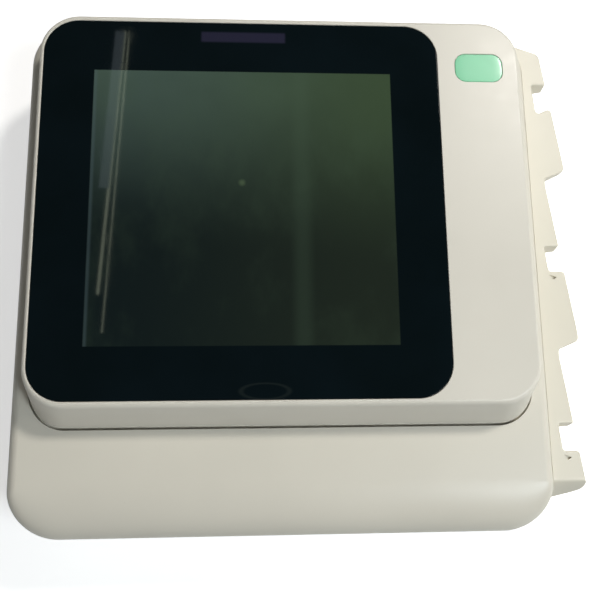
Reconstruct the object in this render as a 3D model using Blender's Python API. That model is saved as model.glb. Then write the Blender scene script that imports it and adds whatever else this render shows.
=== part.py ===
# Flat tabletop fetal monitor: a case with a sloped apron, a tilting screen lid on top, a drawer for
# chart paper in the front and a side rack for the transducers. Metres, +Z up, front towards -Y.
# The origin is the centre of the whole part's box, on the surface that the feet stand on.

import math

import bmesh
import bpy
from mathutils import Matrix, Vector

# Clearances shared by all pieces
GAP = 0.0003
OVERRUN = 0.002
SAME_PLACE = 0.000001

# Case
CASE_WIDTH = 0.342
CASE_DEPTH = 0.344
CASE_CORNER = 0.038
CASE_WALL = 0.003
CASE_FLOOR = 0.004
CASE_BOTTOM = 0.004
CASE_BOTTOM_ROUND = 0.005
SEAM_HEIGHT = 0.032
DECK_HEIGHT = 0.066
SIDE_ROUND = 0.007
FRONT_ROUND = 0.034
CORNER_STEPS = 6
ROUND_STEPS = 5
INSIDE_STEPS = 4
EDGE_STEPS = 3

# Feet and case screws
FOOT_RADIUS = 0.009
FOOT_RECESS = 0.0012
FOOT_SIDE_INSET = 0.043
FOOT_END_INSET = 0.037
BOSS_RADIUS = 0.0045
BOSS_SIDE_INSET = 0.020
BOSS_FRONT_INSET = 0.045
BOSS_REAR_INSET = 0.021
SCREW_HEAD_RADIUS = 0.003
SCREW_HEAD_HEIGHT = 0.0022
SCREW_RADIUS = 0.0015
SCREW_SINK = 0.012
SCREW_LENGTH = 0.026

# Screen lid
LID_SIDE_MARGIN = 0.013
LID_REAR_MARGIN = 0.0105
APRON_DEPTH = 0.065
LID_LIFT = 0.002
LID_THICKNESS = 0.022
LID_FRONT_RUN = 0.013
LID_CORNER = 0.0255
LID_TOP_ROUND = 0.0024
LID_REAR_ROUND = 0.010
LID_WALL = 0.003
LID_TOP_WALL = 0.004
LID_BACK_THICKNESS = 0.003

# Glass, display and the marks beside it
GLASS_LEFT_MARGIN = 0.003
GLASS_STRIP = 0.0556
GLASS_REAR_MARGIN = 0.004
GLASS_FRONT_MARGIN = 0.0035
GLASS_CORNER = 0.022
GLASS_THICKNESS = 0.0018
DISPLAY_WIDTH = 0.1926
DISPLAY_DEPTH = 0.1804
DISPLAY_SHIFT_X = 0.00035
DISPLAY_SHIFT_Y = 0.0012
PANEL_RIM = 0.0057
PANEL_THICKNESS = 0.0089
BOARD_THICKNESS = 0.0016
DISPLAY_BOARD_WIDTH = 0.110
DISPLAY_BOARD_DEPTH = 0.070
DISPLAY_BOARD_PARTS = 0.003
LIGHT_WIDTH = 0.055
LIGHT_DEPTH = 0.007
LIGHT_HEIGHT = 0.005
LIGHT_INSET = 0.0102
BADGE_WIDTH = 0.033
BADGE_DEPTH = 0.0215
BADGE_CORNER = 0.0075
BADGE_THICKNESS = 0.0007
BADGE_SIDE_INSET = 0.0280
BADGE_REAR_INSET = 0.0337

# Lid fasteners and bumpers
LID_BOSS_RADIUS = 0.004
LID_BOSS_SIDE_INSET = 0.016
LID_BOSS_FRONT_INSET = 0.030
LID_BOSS_REAR_INSET = 0.035
LID_SCREW_RADIUS = 0.0011
LID_SCREW_HEAD = 0.0024
LID_SCREW_HEAD_HEIGHT = 0.0014
LID_SCREW_LENGTH = 0.009
BUMPER_RADIUS = 0.005
BUMPER_SIDE_INSET = 0.034
BUMPER_END_INSET = 0.024

# Lid hinges
HINGE_SPREAD = 0.220
BARREL_RADIUS = 0.0055
BARREL_LENGTH = 0.020
KNUCKLE_LENGTH = 0.0075
KNUCKLE_GAP = 0.0005
PIN_RADIUS = 0.0025
LEG_THICKNESS = 0.008
FLANGE_WIDTH = 0.032
FLANGE_DEPTH = 0.018
FLANGE_THICKNESS = 0.0027
LEAF_REACH = 0.020
LEAF_THICKNESS = 0.003
POCKET_CLEARANCE = 0.0012

# Transducer rack on the right side
RACK_REACH = 0.025
RACK_RECESS = 0.0111
RACK_UNITS = 3
RACK_PITCH = 0.1188
RACK_FIRST_NOTCH = 0.0421
RACK_REAR_INSET = 0.0177
RACK_FRONT_INSET = 0.0184
RACK_REAR_SLANT = 0.0059
RACK_FRONT_SLANT = 0.0087
RACK_ARM = 0.0434
RACK_NOTCH = 0.0175
RACK_TAB = 0.0455
RACK_TAB_SLANT = 0.0092
RACK_LAST_TAB = 0.0205
RACK_ROOT_REAR = 0.0065
RACK_ROOT_FRONT = 0.0085
RACK_TIP_ROUND = 0.005
RACK_EDGE_ROUND = 0.0012
RACK_TOP = 0.060
RACK_HEIGHT = 0.027
RACK_WALL = 0.0028
RACK_SKIN = 0.003
RACK_GAP = 0.0004
SPOT_LENGTH = 0.0055
SPOT_WIDTH = 0.0030
SPOT_DEPTH = 0.0015
SPOT_INSET = 0.0035
RACK_SCREW_RADIUS = 0.0015
RACK_SCREW_LENGTH = 0.0085

# Transducer sockets on the left side
SOCKET_COUNT = 4
SOCKET_PITCH = 0.040
SOCKET_FIRST = 0.062
SOCKET_HEIGHT = 0.0455
SOCKET_RADIUS = 0.0085
SOCKET_FLANGE = 0.0105
SOCKET_FLANGE_DEPTH = 0.0015
SOCKET_BORE = 0.0065
SOCKET_BORE_DEPTH = 0.011
SOCKET_DEPTH = 0.015
CONTACT_RADIUS = 0.0006
CONTACT_RING = 0.0035
CONTACT_COUNT = 4
CONTACT_REACH = 0.005

# Connection bay at the rear
BAY_SHIFT = 0.055
BAY_WIDTH = 0.130
BAY_DEPTH = 0.008
BAY_HEIGHT = 0.021
BAY_CENTRE = 0.0465
INLET_SHIFT = 0.040
INLET_WIDTH = 0.0300
INLET_HEIGHT = 0.0190
INLET_RIM = 0.0015
INLET_BODY_DEPTH = 0.020
INLET_RECESS_WIDTH = 0.0245
INLET_RECESS_HEIGHT = 0.0155
INLET_RECESS_DEPTH = 0.0165
BLADE_WIDTH = 0.002
BLADE_HEIGHT = 0.004
BLADE_LENGTH = 0.0115
BLADE_SPREAD = 0.007
BLADE_RAISE = 0.002
NETWORK_SHIFT = -0.012
NETWORK_WIDTH = 0.016
NETWORK_HEIGHT = 0.0135
NETWORK_RECESS_WIDTH = 0.0118
NETWORK_RECESS_HEIGHT = 0.0082
PORT_DEPTH = 0.015
PORT_RECESS_DEPTH = 0.011
USB_SHIFT = -0.040
USB_WIDTH = 0.0145
USB_HEIGHT = 0.0075
USB_RECESS_WIDTH = 0.0125
USB_RECESS_HEIGHT = 0.0052
TONGUE_HEIGHT = 0.0016
POST_SHIFT = 0.010
POST_RADIUS = 0.003
POST_FLANGE = 0.006
POST_REACH = 0.006
POST_TAIL = 0.009

# Battery in the floor
BATTERY_SHIFT_X = -0.085
BATTERY_SHIFT_Y = 0.060
BATTERY_WIDTH = 0.100
BATTERY_DEPTH = 0.072
BATTERY_HEIGHT = 0.018
BATTERY_ROOM = 0.002
BATTERY_COVER_LEDGE = 0.006
BATTERY_COVER_THICKNESS = 0.002
HOOK_WIDTH = 0.024
HOOK_THICKNESS = 0.0014
HOOK_REACH = 0.003
COVER_BOSS_RADIUS = 0.003
COVER_BOSS_HEIGHT = 0.007
COVER_SCREW_RADIUS = 0.0009
COVER_SCREW_HEAD = 0.0017
COVER_SCREW_HEAD_HEIGHT = 0.0009
COVER_SCREW_LENGTH = 0.0055

# Boards, supply and speaker
MAIN_BOARD_SHIFT_X = -0.075
MAIN_BOARD_SHIFT_Y = 0.025
MAIN_BOARD_WIDTH = 0.140
MAIN_BOARD_DEPTH = 0.130
MAIN_BOARD_HEIGHT = 0.034
STANDOFF_RADIUS = 0.003
STANDOFF_INSET = 0.005
CHIP_HEIGHT = 0.002
SHIELD_HEIGHT = 0.006
HEADER_HEIGHT = 0.009
SUPPLY_SHIFT_X = 0.075
SUPPLY_SHIFT_Y = 0.072
SUPPLY_WIDTH = 0.110
SUPPLY_DEPTH = 0.100
SUPPLY_HEIGHT = 0.031
SUPPLY_EDGE = 0.002
SPEAKER_SHIFT = 0.115
SPEAKER_FRONT_INSET = 0.075
SPEAKER_RADIUS = 0.020
SPEAKER_HEIGHT = 0.014
SPEAKER_MAGNET = 0.010
SPEAKER_RIM = 0.003
GRILLE_SLOTS = 5
GRILLE_PITCH = 0.006
GRILLE_SLOT_WIDTH = 0.0024
GRILLE_SLOT_LENGTH = 0.028

# Paper drawer
DRAWER_WIDTH = 0.183
DRAWER_SIDE_GAP = 0.0005
DRAWER_SILL = 0.0095
DRAWER_TOP = 0.0295
DRAWER_FRONT_THICKNESS = 0.003
DRAWER_FRONT_ROUND = 0.0008
TRAY_WIDTH = 0.163
TRAY_WALL = 0.0025
TRAY_FLOOR = 0.002
TRAY_SIDE_TOP = 0.0265
PAPER_WIDTH = 0.152
PAPER_DEPTH = 0.090
PAPER_HEIGHT = 0.015
PAPER_ROOM = 0.001
ROLLER_INSET = 0.012
ROLLER_HEIGHT = 0.0245
ROLLER_RADIUS = 0.006
ROLLER_LENGTH = 0.150
ROLLER_BAY = 0.0205
SHAFT_RADIUS = 0.002
SHAFT_END = 0.001
EAR_WIDTH = 0.012
EAR_RISE = 0.004
GEAR_MODULE = 0.0008
GEAR_TEETH = 14
PINION_TEETH = 10
GEAR_WIDTH = 0.004
GEAR_OFFSET = 0.0018
GEAR_PLAY = 0.0002
PINION_SHAFT = 0.0015
RAIL_LENGTH = 0.090
RAIL_SIDE = 0.003
RAIL_LEDGE = 0.006
RAIL_HEIGHT = 0.008
RAIL_BASE = 0.0014
RAIL_PLAY = 0.0005

# Recorder frame, head and motor
FRAME_PLATE = 0.002
FRAME_FRONT_INSET = 0.008
FRAME_DEPTH = 0.029
HEAD_FRONT_INSET = 0.006
HEAD_DEPTH = 0.012
HEAD_WIDTH = 0.156
HEAD_BAR = 0.003
HEAD_HEIGHT = 0.011
MOTOR_RADIUS = 0.010
MOTOR_LENGTH = 0.015
MOTOR_BORE = 0.008

# Buttons in the front wall
BUTTON_HEIGHT = 0.020
BUTTON_SINK = 0.0003
BUTTON_LENGTH = 0.008
BUTTON_FLANGE = 0.0015
BUTTON_LIP = 0.0018
POWER_SHIFT = -0.115
POWER_RADIUS = 0.007
RELEASE_SHIFT = 0.115
RELEASE_WIDTH = 0.012
RELEASE_HEIGHT = 0.008

# Linear colours, roughness and metallic value of each finish
FINISHES = {
    "ivory_plastic": ((0.62, 0.59, 0.51), 0.42, 0.0),
    "rack_plastic": ((0.66, 0.62, 0.54), 0.45, 0.0),
    "grey_plastic": ((0.30, 0.31, 0.32), 0.50, 0.0),
    "black_plastic": ((0.02, 0.02, 0.022), 0.45, 0.0),
    "green_plastic": ((0.30, 0.72, 0.44), 0.40, 0.0),
    "dark_glass": ((0.006, 0.010, 0.011), 0.06, 0.0),
    "panel_dark": ((0.025, 0.036, 0.030), 0.25, 0.0),
    "light_guide": ((0.30, 0.28, 0.34), 0.35, 0.0),
    "rubber": ((0.03, 0.03, 0.032), 0.85, 0.0),
    "steel": ((0.56, 0.57, 0.58), 0.32, 1.0),
    "aluminium": ((0.72, 0.73, 0.74), 0.38, 1.0),
    "brass": ((0.70, 0.55, 0.26), 0.30, 1.0),
    "board_green": ((0.02, 0.14, 0.07), 0.45, 0.0),
    "paper": ((0.86, 0.85, 0.82), 0.80, 0.0),
    "battery_blue": ((0.05, 0.12, 0.28), 0.50, 0.0),
    "white_gear": ((0.80, 0.79, 0.75), 0.40, 0.0),
}

# Places worked out from the sizes above
case_x = -RACK_REACH / 2
case_left = case_x - CASE_WIDTH / 2
case_right = case_x + CASE_WIDTH / 2
case_front = -CASE_DEPTH / 2
case_rear = CASE_DEPTH / 2
floor_top = CASE_BOTTOM + CASE_FLOOR
ceiling = DECK_HEIGHT - CASE_WALL
lid_left = case_left + LID_SIDE_MARGIN
lid_right = case_right - LID_SIDE_MARGIN
lid_front = case_front + APRON_DEPTH
lid_rear = case_rear - LID_REAR_MARGIN
lid_x = (lid_left + lid_right) / 2
lid_bottom = DECK_HEIGHT + LID_LIFT
lid_top = lid_bottom + LID_THICKNESS
lid_ceiling = lid_top - LID_TOP_WALL
back_top = lid_bottom + LID_BACK_THICKNESS
hinge_y = lid_rear - LID_REAR_ROUND
hinge_z = lid_bottom + LID_REAR_ROUND
glass_left = lid_left + GLASS_LEFT_MARGIN
glass_right = lid_right - GLASS_STRIP
glass_front = lid_front + LID_FRONT_RUN + GLASS_FRONT_MARGIN
glass_rear = lid_rear - GLASS_REAR_MARGIN
glass_x = (glass_left + glass_right) / 2
glass_seat = lid_top - GLASS_THICKNESS - GAP
display_x = glass_x + DISPLAY_SHIFT_X
display_y = (glass_front + glass_rear) / 2 - DISPLAY_SHIFT_Y
roller_y = case_front + ROLLER_INSET
gear_left = case_x + TRAY_WIDTH / 2 + GEAR_OFFSET
pitch_radius = GEAR_MODULE * GEAR_TEETH / 2
pinion_pitch_radius = GEAR_MODULE * PINION_TEETH / 2
pinion_y = roller_y + pitch_radius + pinion_pitch_radius + GEAR_PLAY
tray_front = case_front + DRAWER_FRONT_THICKNESS + GAP
tray_bottom = floor_top + GAP + RAIL_BASE + GAP
paper_front = tray_front + ROLLER_BAY
bay_x = case_x + BAY_SHIFT
bay_wall_rear = case_rear - BAY_DEPTH


# Removes whatever the file opened with
def clear_scene():
    for item in list(bpy.data.objects):
        bpy.data.objects.remove(item, do_unlink=True)


# One Principled material for each finish in the table
def make_finish(name):
    colour, roughness, metallic = FINISHES[name]
    made = bpy.data.materials.get(name) or bpy.data.materials.new(name)
    made.use_nodes = True
    shader = made.node_tree.nodes["Principled BSDF"]
    shader.inputs["Base Color"].default_value = (*colour, 1.0)
    shader.inputs["Roughness"].default_value = roughness
    shader.inputs["Metallic"].default_value = metallic
    return made


# An axis-aligned block between two corner points
def add_box(mesh, low, high):
    low = Vector(low)
    high = Vector(high)
    size = high - low
    place = Matrix.Translation((low + high) / 2) @ Matrix.Diagonal((*size, 1.0))
    bmesh.ops.create_cube(mesh, size=1.0, matrix=place)


# A turned bar or cone between two heights along one axis, start to end
def add_bar(mesh, centre, axis, start, end, radius, end_radius=None, sides=24):
    turn = {
        "X": Matrix.Rotation(math.pi / 2, 4, "Y"),
        "Y": Matrix.Rotation(-math.pi / 2, 4, "X"),
        "Z": Matrix.Identity(4),
    }[axis]
    middle = Vector(centre)
    middle["XYZ".index(axis)] = (start + end) / 2
    bmesh.ops.create_cone(
        mesh,
        cap_ends=True,
        segments=sides,
        radius1=radius,
        radius2=radius if end_radius is None else end_radius,
        depth=end - start,
        matrix=Matrix.Translation(middle) @ turn,
    )


# A turned shape about one axis: (radius, place along the axis) from one end to the other
def add_turned(mesh, centre, axis, stations, sides=24):
    along = "XYZ".index(axis)
    right = (along + 1) % 3
    up = (along + 2) % 3
    rings = []
    for radius, place in stations:
        ring = []
        for i in range(sides):
            angle = 2 * math.pi * i / sides
            point = Vector(centre)
            point[along] = place
            point[right] += radius * math.cos(angle)
            point[up] += radius * math.sin(angle)
            ring.append(point)
        rings.append(ring)
    add_loft(mesh, rings)


# A skin through rings of equal length, closed by a flat cap at each end. Where two rings meet,
# they share their points.
def add_loft(mesh, rings):
    rows = [[mesh.verts.new(point) for point in rings[0]]]
    for ring in rings[1:]:
        below = rows[-1]
        rows.append([
            vert if (vert.co - Vector(point)).length < SAME_PLACE else mesh.verts.new(point)
            for vert, point in zip(below, ring)
        ])
    count = len(rows[0])
    for lower, upper in zip(rows, rows[1:]):
        for i in range(count):
            j = (i + 1) % count
            corners = list(dict.fromkeys((lower[i], lower[j], upper[j], upper[i])))
            if len(corners) > 2:
                mesh.faces.new(corners)
    mesh.faces.new(list(reversed(rows[0])))
    mesh.faces.new(rows[-1])
    bmesh.ops.recalc_face_normals(mesh, faces=mesh.faces)


# A flat outline pushed between two heights
def add_prism(mesh, outline, low, high):
    add_loft(mesh, [[(x, y, height) for x, y in outline] for height in (low, high)])


# Points and outward directions round a rectangle with round corners
def rounded_columns(left, right, front, rear, radius, steps=CORNER_STEPS):
    corners = (
        (right - radius, front + radius, -90),
        (right - radius, rear - radius, 0),
        (left + radius, rear - radius, 90),
        (left + radius, front + radius, 180),
    )
    columns = []
    for x, y, first in corners:
        for step in range(steps + 1):
            angle = math.radians(first + 90 * step / steps)
            across = math.cos(angle)
            along = math.sin(angle)
            columns.append((x + radius * across, y + radius * along, across, along))
    return columns


def rounded_outline(left, right, front, rear, radius, steps=CORNER_STEPS):
    return [(x, y) for x, y, across, along in rounded_columns(left, right, front, rear, radius, steps)]


# A polygon whose corners are (x, y, radius), each turned into an arc
def rounded_polygon(corners, steps=3):
    outline = []
    for i, (x, y, radius) in enumerate(corners):
        here = Vector((x, y))
        before = Vector(corners[i - 1][:2]) - here
        after = Vector(corners[(i + 1) % len(corners)][:2]) - here
        if radius == 0:
            outline.append((x, y))
            continue
        half = before.angle(after) / 2
        cut = min(radius / math.tan(half), before.length / 2, after.length / 2)
        start = here + before.normalized() * cut
        end = here + after.normalized() * cut
        for step in range(steps + 1):
            share = step / steps
            bend = start * (1 - share) ** 2 + here * 2 * share * (1 - share) + end * share ** 2
            outline.append((bend.x, bend.y))
    return outline


# Turns a mesh into a named object in one finish, smooth except at sharp edges
def make_piece(name, mesh, finish, pivot=None):
    data = bpy.data.meshes.new(name)
    bmesh.ops.recalc_face_normals(mesh, faces=mesh.faces)
    mesh.to_mesh(data)
    mesh.free()
    data.shade_smooth()
    data.set_sharp_from_angle(angle=math.radians(35))
    data.materials.append(make_finish(finish))
    piece = bpy.data.objects.new(name, data)
    bpy.context.collection.objects.link(piece)
    if pivot:
        piece.parent = pivot
        piece.location = -pivot.location
    return piece


# A hidden shape that a Boolean reads
def make_guide(name, build):
    mesh = bmesh.new()
    build(mesh)
    data = bpy.data.meshes.new(name)
    bmesh.ops.recalc_face_normals(mesh, faces=mesh.faces)
    mesh.to_mesh(data)
    mesh.free()
    guide = bpy.data.objects.new(name, data)
    guide.display_type = "WIRE"
    guide.hide_render = True
    bpy.context.collection.objects.link(guide)
    return guide


def combine(piece, operation, label, build):
    step = piece.modifiers.new(label, "BOOLEAN")
    step.operation = operation
    step.solver = "EXACT"
    step.object = make_guide(piece.name + "_" + label, build)


def cut(piece, label, build):
    combine(piece, "DIFFERENCE", label, build)


def fuse(piece, label, build):
    combine(piece, "UNION", label, build)


def make_pivot(name, place):
    pivot = bpy.data.objects.new(name, None)
    pivot.location = place
    bpy.context.collection.objects.link(pivot)
    return pivot


# Heights and places of the case

def case_columns(inset):
    return rounded_columns(
        case_left + inset,
        case_right - inset,
        case_front + inset,
        case_rear - inset,
        CASE_CORNER - inset,
    )


# Angles of a quarter turn in equal steps, in degrees
def turn_steps(count):
    return [90 * i / count for i in range(count + 1)]


# One ring of the top shell's rounding, from upright (0) to flat (90 degrees)
def shoulder_ring(inset, degrees):
    lean = 1 - math.cos(math.radians(degrees))
    drop = 1 - math.sin(math.radians(degrees))
    ring = []
    for x, y, across, along in case_columns(inset):
        end_round = FRONT_ROUND if along < 0 else SIDE_ROUND
        reach_x = (SIDE_ROUND - inset) * across
        reach_y = (end_round - inset) * along
        height = DECK_HEIGHT - inset - math.hypot(reach_x, reach_y) * drop
        ring.append((x - reach_x * lean, y - reach_y * lean, height))
    return ring


# One ring of the pan's lower edge, from flat (90) to upright (0 degrees)
def pan_ring(inset, degrees, bottom):
    radius = CASE_BOTTOM_ROUND - inset
    lean = radius * (1 - math.cos(math.radians(degrees)))
    rise = radius * (1 - math.sin(math.radians(degrees)))
    return [
        (x - lean * across, y - lean * along, bottom + rise)
        for x, y, across, along in case_columns(inset)
    ]


def level_ring(columns, height):
    return [(x, y, height) for x, y, across, along in columns]


def corner_places(side_inset, front_inset, rear_inset):
    for x in (case_left + side_inset, case_right - side_inset):
        for y in (case_front + front_inset, case_rear - rear_inset):
            yield x, y


def boss_places():
    return list(corner_places(BOSS_SIDE_INSET, BOSS_FRONT_INSET, BOSS_REAR_INSET))


def foot_places():
    return list(corner_places(FOOT_SIDE_INSET, FOOT_END_INSET, FOOT_END_INSET))


def standoff_places():
    x = case_x + MAIN_BOARD_SHIFT_X
    half_width = MAIN_BOARD_WIDTH / 2 - STANDOFF_INSET
    half_depth = MAIN_BOARD_DEPTH / 2 - STANDOFF_INSET
    for side in (-1, 1):
        for end in (-1, 1):
            yield x + side * half_width, MAIN_BOARD_SHIFT_Y + end * half_depth


def cover_screw_places():
    reach = BATTERY_WIDTH / 2 + BATTERY_ROOM + BATTERY_COVER_LEDGE / 2
    return [(case_x + BATTERY_SHIFT_X + reach, BATTERY_SHIFT_Y)]


def socket_places():
    for i in range(SOCKET_COUNT):
        yield case_front + SOCKET_FIRST + i * SOCKET_PITCH


def speaker_place():
    return case_x - SPEAKER_SHIFT, case_front + SPEAKER_FRONT_INSET


def notch_places():
    return [case_rear - RACK_FIRST_NOTCH - i * RACK_PITCH for i in range(RACK_UNITS)]


def rack_screw_places():
    notches = notch_places()
    return [notches[0] - RACK_NOTCH / 2, notches[-1] - RACK_NOTCH / 2]


def hinge_places():
    return {"left": lid_x - HINGE_SPREAD / 2, "right": lid_x + HINGE_SPREAD / 2}


# Lower case

def make_lower_case():
    rim = SEAM_HEIGHT - GAP / 2
    rings = [pan_ring(CASE_WALL, 90, floor_top), pan_ring(CASE_WALL, 0, floor_top)]
    rings.append(level_ring(case_columns(CASE_WALL), rim))
    rings.append(level_ring(case_columns(0), rim))
    rings += [pan_ring(0, angle, CASE_BOTTOM) for angle in turn_steps(EDGE_STEPS)]
    mesh = bmesh.new()
    add_loft(mesh, rings)
    pan = make_piece("lower_case", mesh, "ivory_plastic")
    fuse(pan, "bosses", add_pan_bosses)
    cut(pan, "openings", cut_pan_openings)
    cut(pan, "recess", cut_cover_recess)
    cut(pan, "bores", cut_pan_bores)


def add_pan_bosses(mesh):
    root = floor_top - CASE_FLOOR / 2
    for x, y in boss_places():
        add_bar(mesh, (x, y, 0), "Z", root, SEAM_HEIGHT - GAP, BOSS_RADIUS, sides=12)
    for x, y in standoff_places():
        add_bar(mesh, (x, y, 0), "Z", root, MAIN_BOARD_HEIGHT - GAP, STANDOFF_RADIUS, sides=10)
    for x, y in cover_screw_places():
        add_bar(mesh, (x, y, 0), "Z", root, root + COVER_BOSS_HEIGHT, COVER_BOSS_RADIUS, sides=12)


def cut_pan_openings(mesh):
    half = DRAWER_WIDTH / 2 + DRAWER_SIDE_GAP
    outside = case_front - OVERRUN
    inside = case_front + CASE_WALL + OVERRUN
    add_box(mesh, (case_x - half, outside, DRAWER_SILL), (case_x + half, inside, SEAM_HEIGHT + OVERRUN))
    half_width = RELEASE_WIDTH / 2 + GAP
    half_height = RELEASE_HEIGHT / 2 + GAP
    x = case_x + RELEASE_SHIFT
    low = (x - half_width, outside, BUTTON_HEIGHT - half_height)
    add_box(mesh, low, (x + half_width, inside, BUTTON_HEIGHT + half_height))
    power_centre = (case_x + POWER_SHIFT, 0, BUTTON_HEIGHT)
    add_bar(mesh, power_centre, "Y", outside, inside, POWER_RADIUS + GAP, sides=24)
    add_battery_well(mesh)
    add_grille(mesh)
    for x, y in foot_places():
        top = CASE_BOTTOM + FOOT_RECESS
        add_bar(mesh, (x, y, 0), "Z", CASE_BOTTOM - OVERRUN, top, FOOT_RADIUS + GAP, sides=20)


def add_battery_well(mesh):
    x = case_x + BATTERY_SHIFT_X
    half_width = BATTERY_WIDTH / 2 + BATTERY_ROOM
    half_depth = BATTERY_DEPTH / 2 + BATTERY_ROOM
    low = (x - half_width, BATTERY_SHIFT_Y - half_depth, cover_seat() - GAP)
    add_box(mesh, low, (x + half_width, BATTERY_SHIFT_Y + half_depth, floor_top + OVERRUN))


def cover_corners(clearance):
    x = case_x + BATTERY_SHIFT_X
    half_width = BATTERY_WIDTH / 2 + BATTERY_ROOM + BATTERY_COVER_LEDGE + clearance
    half_depth = BATTERY_DEPTH / 2 + BATTERY_ROOM + BATTERY_COVER_LEDGE + clearance
    return (x - half_width, BATTERY_SHIFT_Y - half_depth), (x + half_width, BATTERY_SHIFT_Y + half_depth)


def add_grille(mesh):
    x, y = speaker_place()
    for i in range(GRILLE_SLOTS):
        middle = y + (i - (GRILLE_SLOTS - 1) / 2) * GRILLE_PITCH
        low = (x - GRILLE_SLOT_LENGTH / 2, middle - GRILLE_SLOT_WIDTH / 2, CASE_BOTTOM - OVERRUN)
        high = (x + GRILLE_SLOT_LENGTH / 2, middle + GRILLE_SLOT_WIDTH / 2, floor_top + OVERRUN)
        add_box(mesh, low, high)


def cover_seat():
    return CASE_BOTTOM + BATTERY_COVER_THICKNESS + GAP


def cut_cover_recess(mesh):
    low, high = cover_corners(GAP)
    add_box(mesh, (*low, CASE_BOTTOM - OVERRUN), (*high, cover_seat()))


def cut_pan_bores(mesh):
    for x, y in boss_places():
        add_stepped_bore(mesh, x, y, CASE_BOTTOM, SCREW_SINK)
    for x, y in cover_screw_places():
        end = cover_seat() + COVER_SCREW_LENGTH
        add_bar(mesh, (x, y, 0), "Z", CASE_BOTTOM, end, COVER_SCREW_RADIUS + GAP, sides=10)


# A wide bore for a screw head with a narrow bore on through the boss
def add_stepped_bore(mesh, x, y, bottom, sink):
    wide = SCREW_HEAD_RADIUS + GAP
    narrow = SCREW_RADIUS + GAP
    stations = (
        (wide, bottom - OVERRUN),
        (wide, bottom + sink),
        (narrow, bottom + sink),
        (narrow, SEAM_HEIGHT + OVERRUN),
    )
    add_turned(mesh, (x, y, 0), "Z", stations, 10)


# Upper case

def make_upper_case():
    rim = SEAM_HEIGHT + GAP / 2
    rings = [shoulder_ring(CASE_WALL, angle) for angle in reversed(turn_steps(INSIDE_STEPS))]
    rings.append(level_ring(case_columns(CASE_WALL), rim))
    rings.append(level_ring(case_columns(0), rim))
    rings += [shoulder_ring(0, angle) for angle in turn_steps(ROUND_STEPS)]
    mesh = bmesh.new()
    add_loft(mesh, rings)
    shell = make_piece("upper_case", mesh, "ivory_plastic")
    fuse(shell, "bosses", add_shell_bosses)
    cut(shell, "openings", cut_shell_openings)
    cut(shell, "bores", cut_shell_bores)


def bay_limits(grow):
    low_x = bay_x - BAY_WIDTH / 2 - grow
    high_x = bay_x + BAY_WIDTH / 2 + grow
    low_z = BAY_CENTRE - BAY_HEIGHT / 2 - grow
    high_z = BAY_CENTRE + BAY_HEIGHT / 2 + grow
    return low_x, high_x, low_z, high_z


def add_shell_bosses(mesh):
    low_x, high_x, low_z, high_z = bay_limits(CASE_WALL)
    inside = bay_wall_rear - CASE_WALL
    add_box(mesh, (low_x, inside, low_z), (high_x, case_rear - CASE_WALL / 2, high_z))
    for x, y in boss_places():
        add_bar(mesh, (x, y, 0), "Z", SEAM_HEIGHT + GAP, ceiling + CASE_WALL / 2, BOSS_RADIUS, sides=12)


def cut_shell_openings(mesh):
    low_x, high_x, low_z, high_z = bay_limits(0)
    add_box(mesh, (low_x, bay_wall_rear, low_z), (high_x, case_rear + OVERRUN, high_z))
    for x in hinge_places().values():
        half_width = BARREL_LENGTH / 2 + KNUCKLE_GAP
        half_depth = BARREL_RADIUS + KNUCKLE_GAP
        low = (x - half_width, hinge_y - half_depth, ceiling - OVERRUN)
        add_box(mesh, low, (x + half_width, hinge_y + half_depth, DECK_HEIGHT + OVERRUN))
    for y in socket_places():
        add_socket_seat(mesh, y)
    for y in rack_screw_places():
        centre = (0, y, rack_middle())
        radius = RACK_SCREW_RADIUS + GAP
        add_bar(mesh, centre, "X", case_right - CASE_WALL - OVERRUN, case_right + OVERRUN, radius, sides=12)


def cut_shell_bores(mesh):
    inside = bay_wall_rear - CASE_WALL - OVERRUN
    outside = bay_wall_rear + OVERRUN
    for shift, width, height in port_cutouts():
        low = (bay_x + shift - width / 2 - GAP, inside, BAY_CENTRE - height / 2 - GAP)
        high = (bay_x + shift + width / 2 + GAP, outside, BAY_CENTRE + height / 2 + GAP)
        add_box(mesh, low, high)
    post_centre = (bay_x + POST_SHIFT, 0, BAY_CENTRE)
    add_bar(mesh, post_centre, "Y", inside, outside, POST_RADIUS + GAP, sides=16)
    for x, y in boss_places():
        top = SEAM_HEIGHT + SCREW_LENGTH - SCREW_SINK
        add_bar(mesh, (x, y, 0), "Z", SEAM_HEIGHT, top, SCREW_RADIUS + GAP, sides=10)


def port_cutouts():
    yield INLET_SHIFT, INLET_WIDTH - 2 * INLET_RIM, INLET_HEIGHT - 2 * INLET_RIM
    yield NETWORK_SHIFT, NETWORK_WIDTH, NETWORK_HEIGHT
    yield USB_SHIFT, USB_WIDTH, USB_HEIGHT


# The bore in the left wall with a shallow seat for the socket's flange
def add_socket_seat(mesh, y):
    stations = (
        (SOCKET_FLANGE + GAP, case_left - OVERRUN),
        (SOCKET_FLANGE + GAP, case_left + SOCKET_FLANGE_DEPTH + GAP),
        (SOCKET_RADIUS + GAP, case_left + SOCKET_FLANGE_DEPTH + GAP),
        (SOCKET_RADIUS + GAP, case_left + CASE_WALL + OVERRUN),
    )
    add_turned(mesh, (0, y, SOCKET_HEIGHT), "X", stations, 20)


# Feet and screws

def make_feet():
    chamfer = CASE_BOTTOM / 4
    top = CASE_BOTTOM + FOOT_RECESS - GAP
    stations = ((FOOT_RADIUS - chamfer, 0), (FOOT_RADIUS, chamfer), (FOOT_RADIUS, top))
    for number, place in enumerate(foot_places(), 1):
        mesh = bmesh.new()
        add_turned(mesh, (*place, 0), "Z", stations, 20)
        make_piece("rubber_foot_" + str(number), mesh, "rubber")


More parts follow.
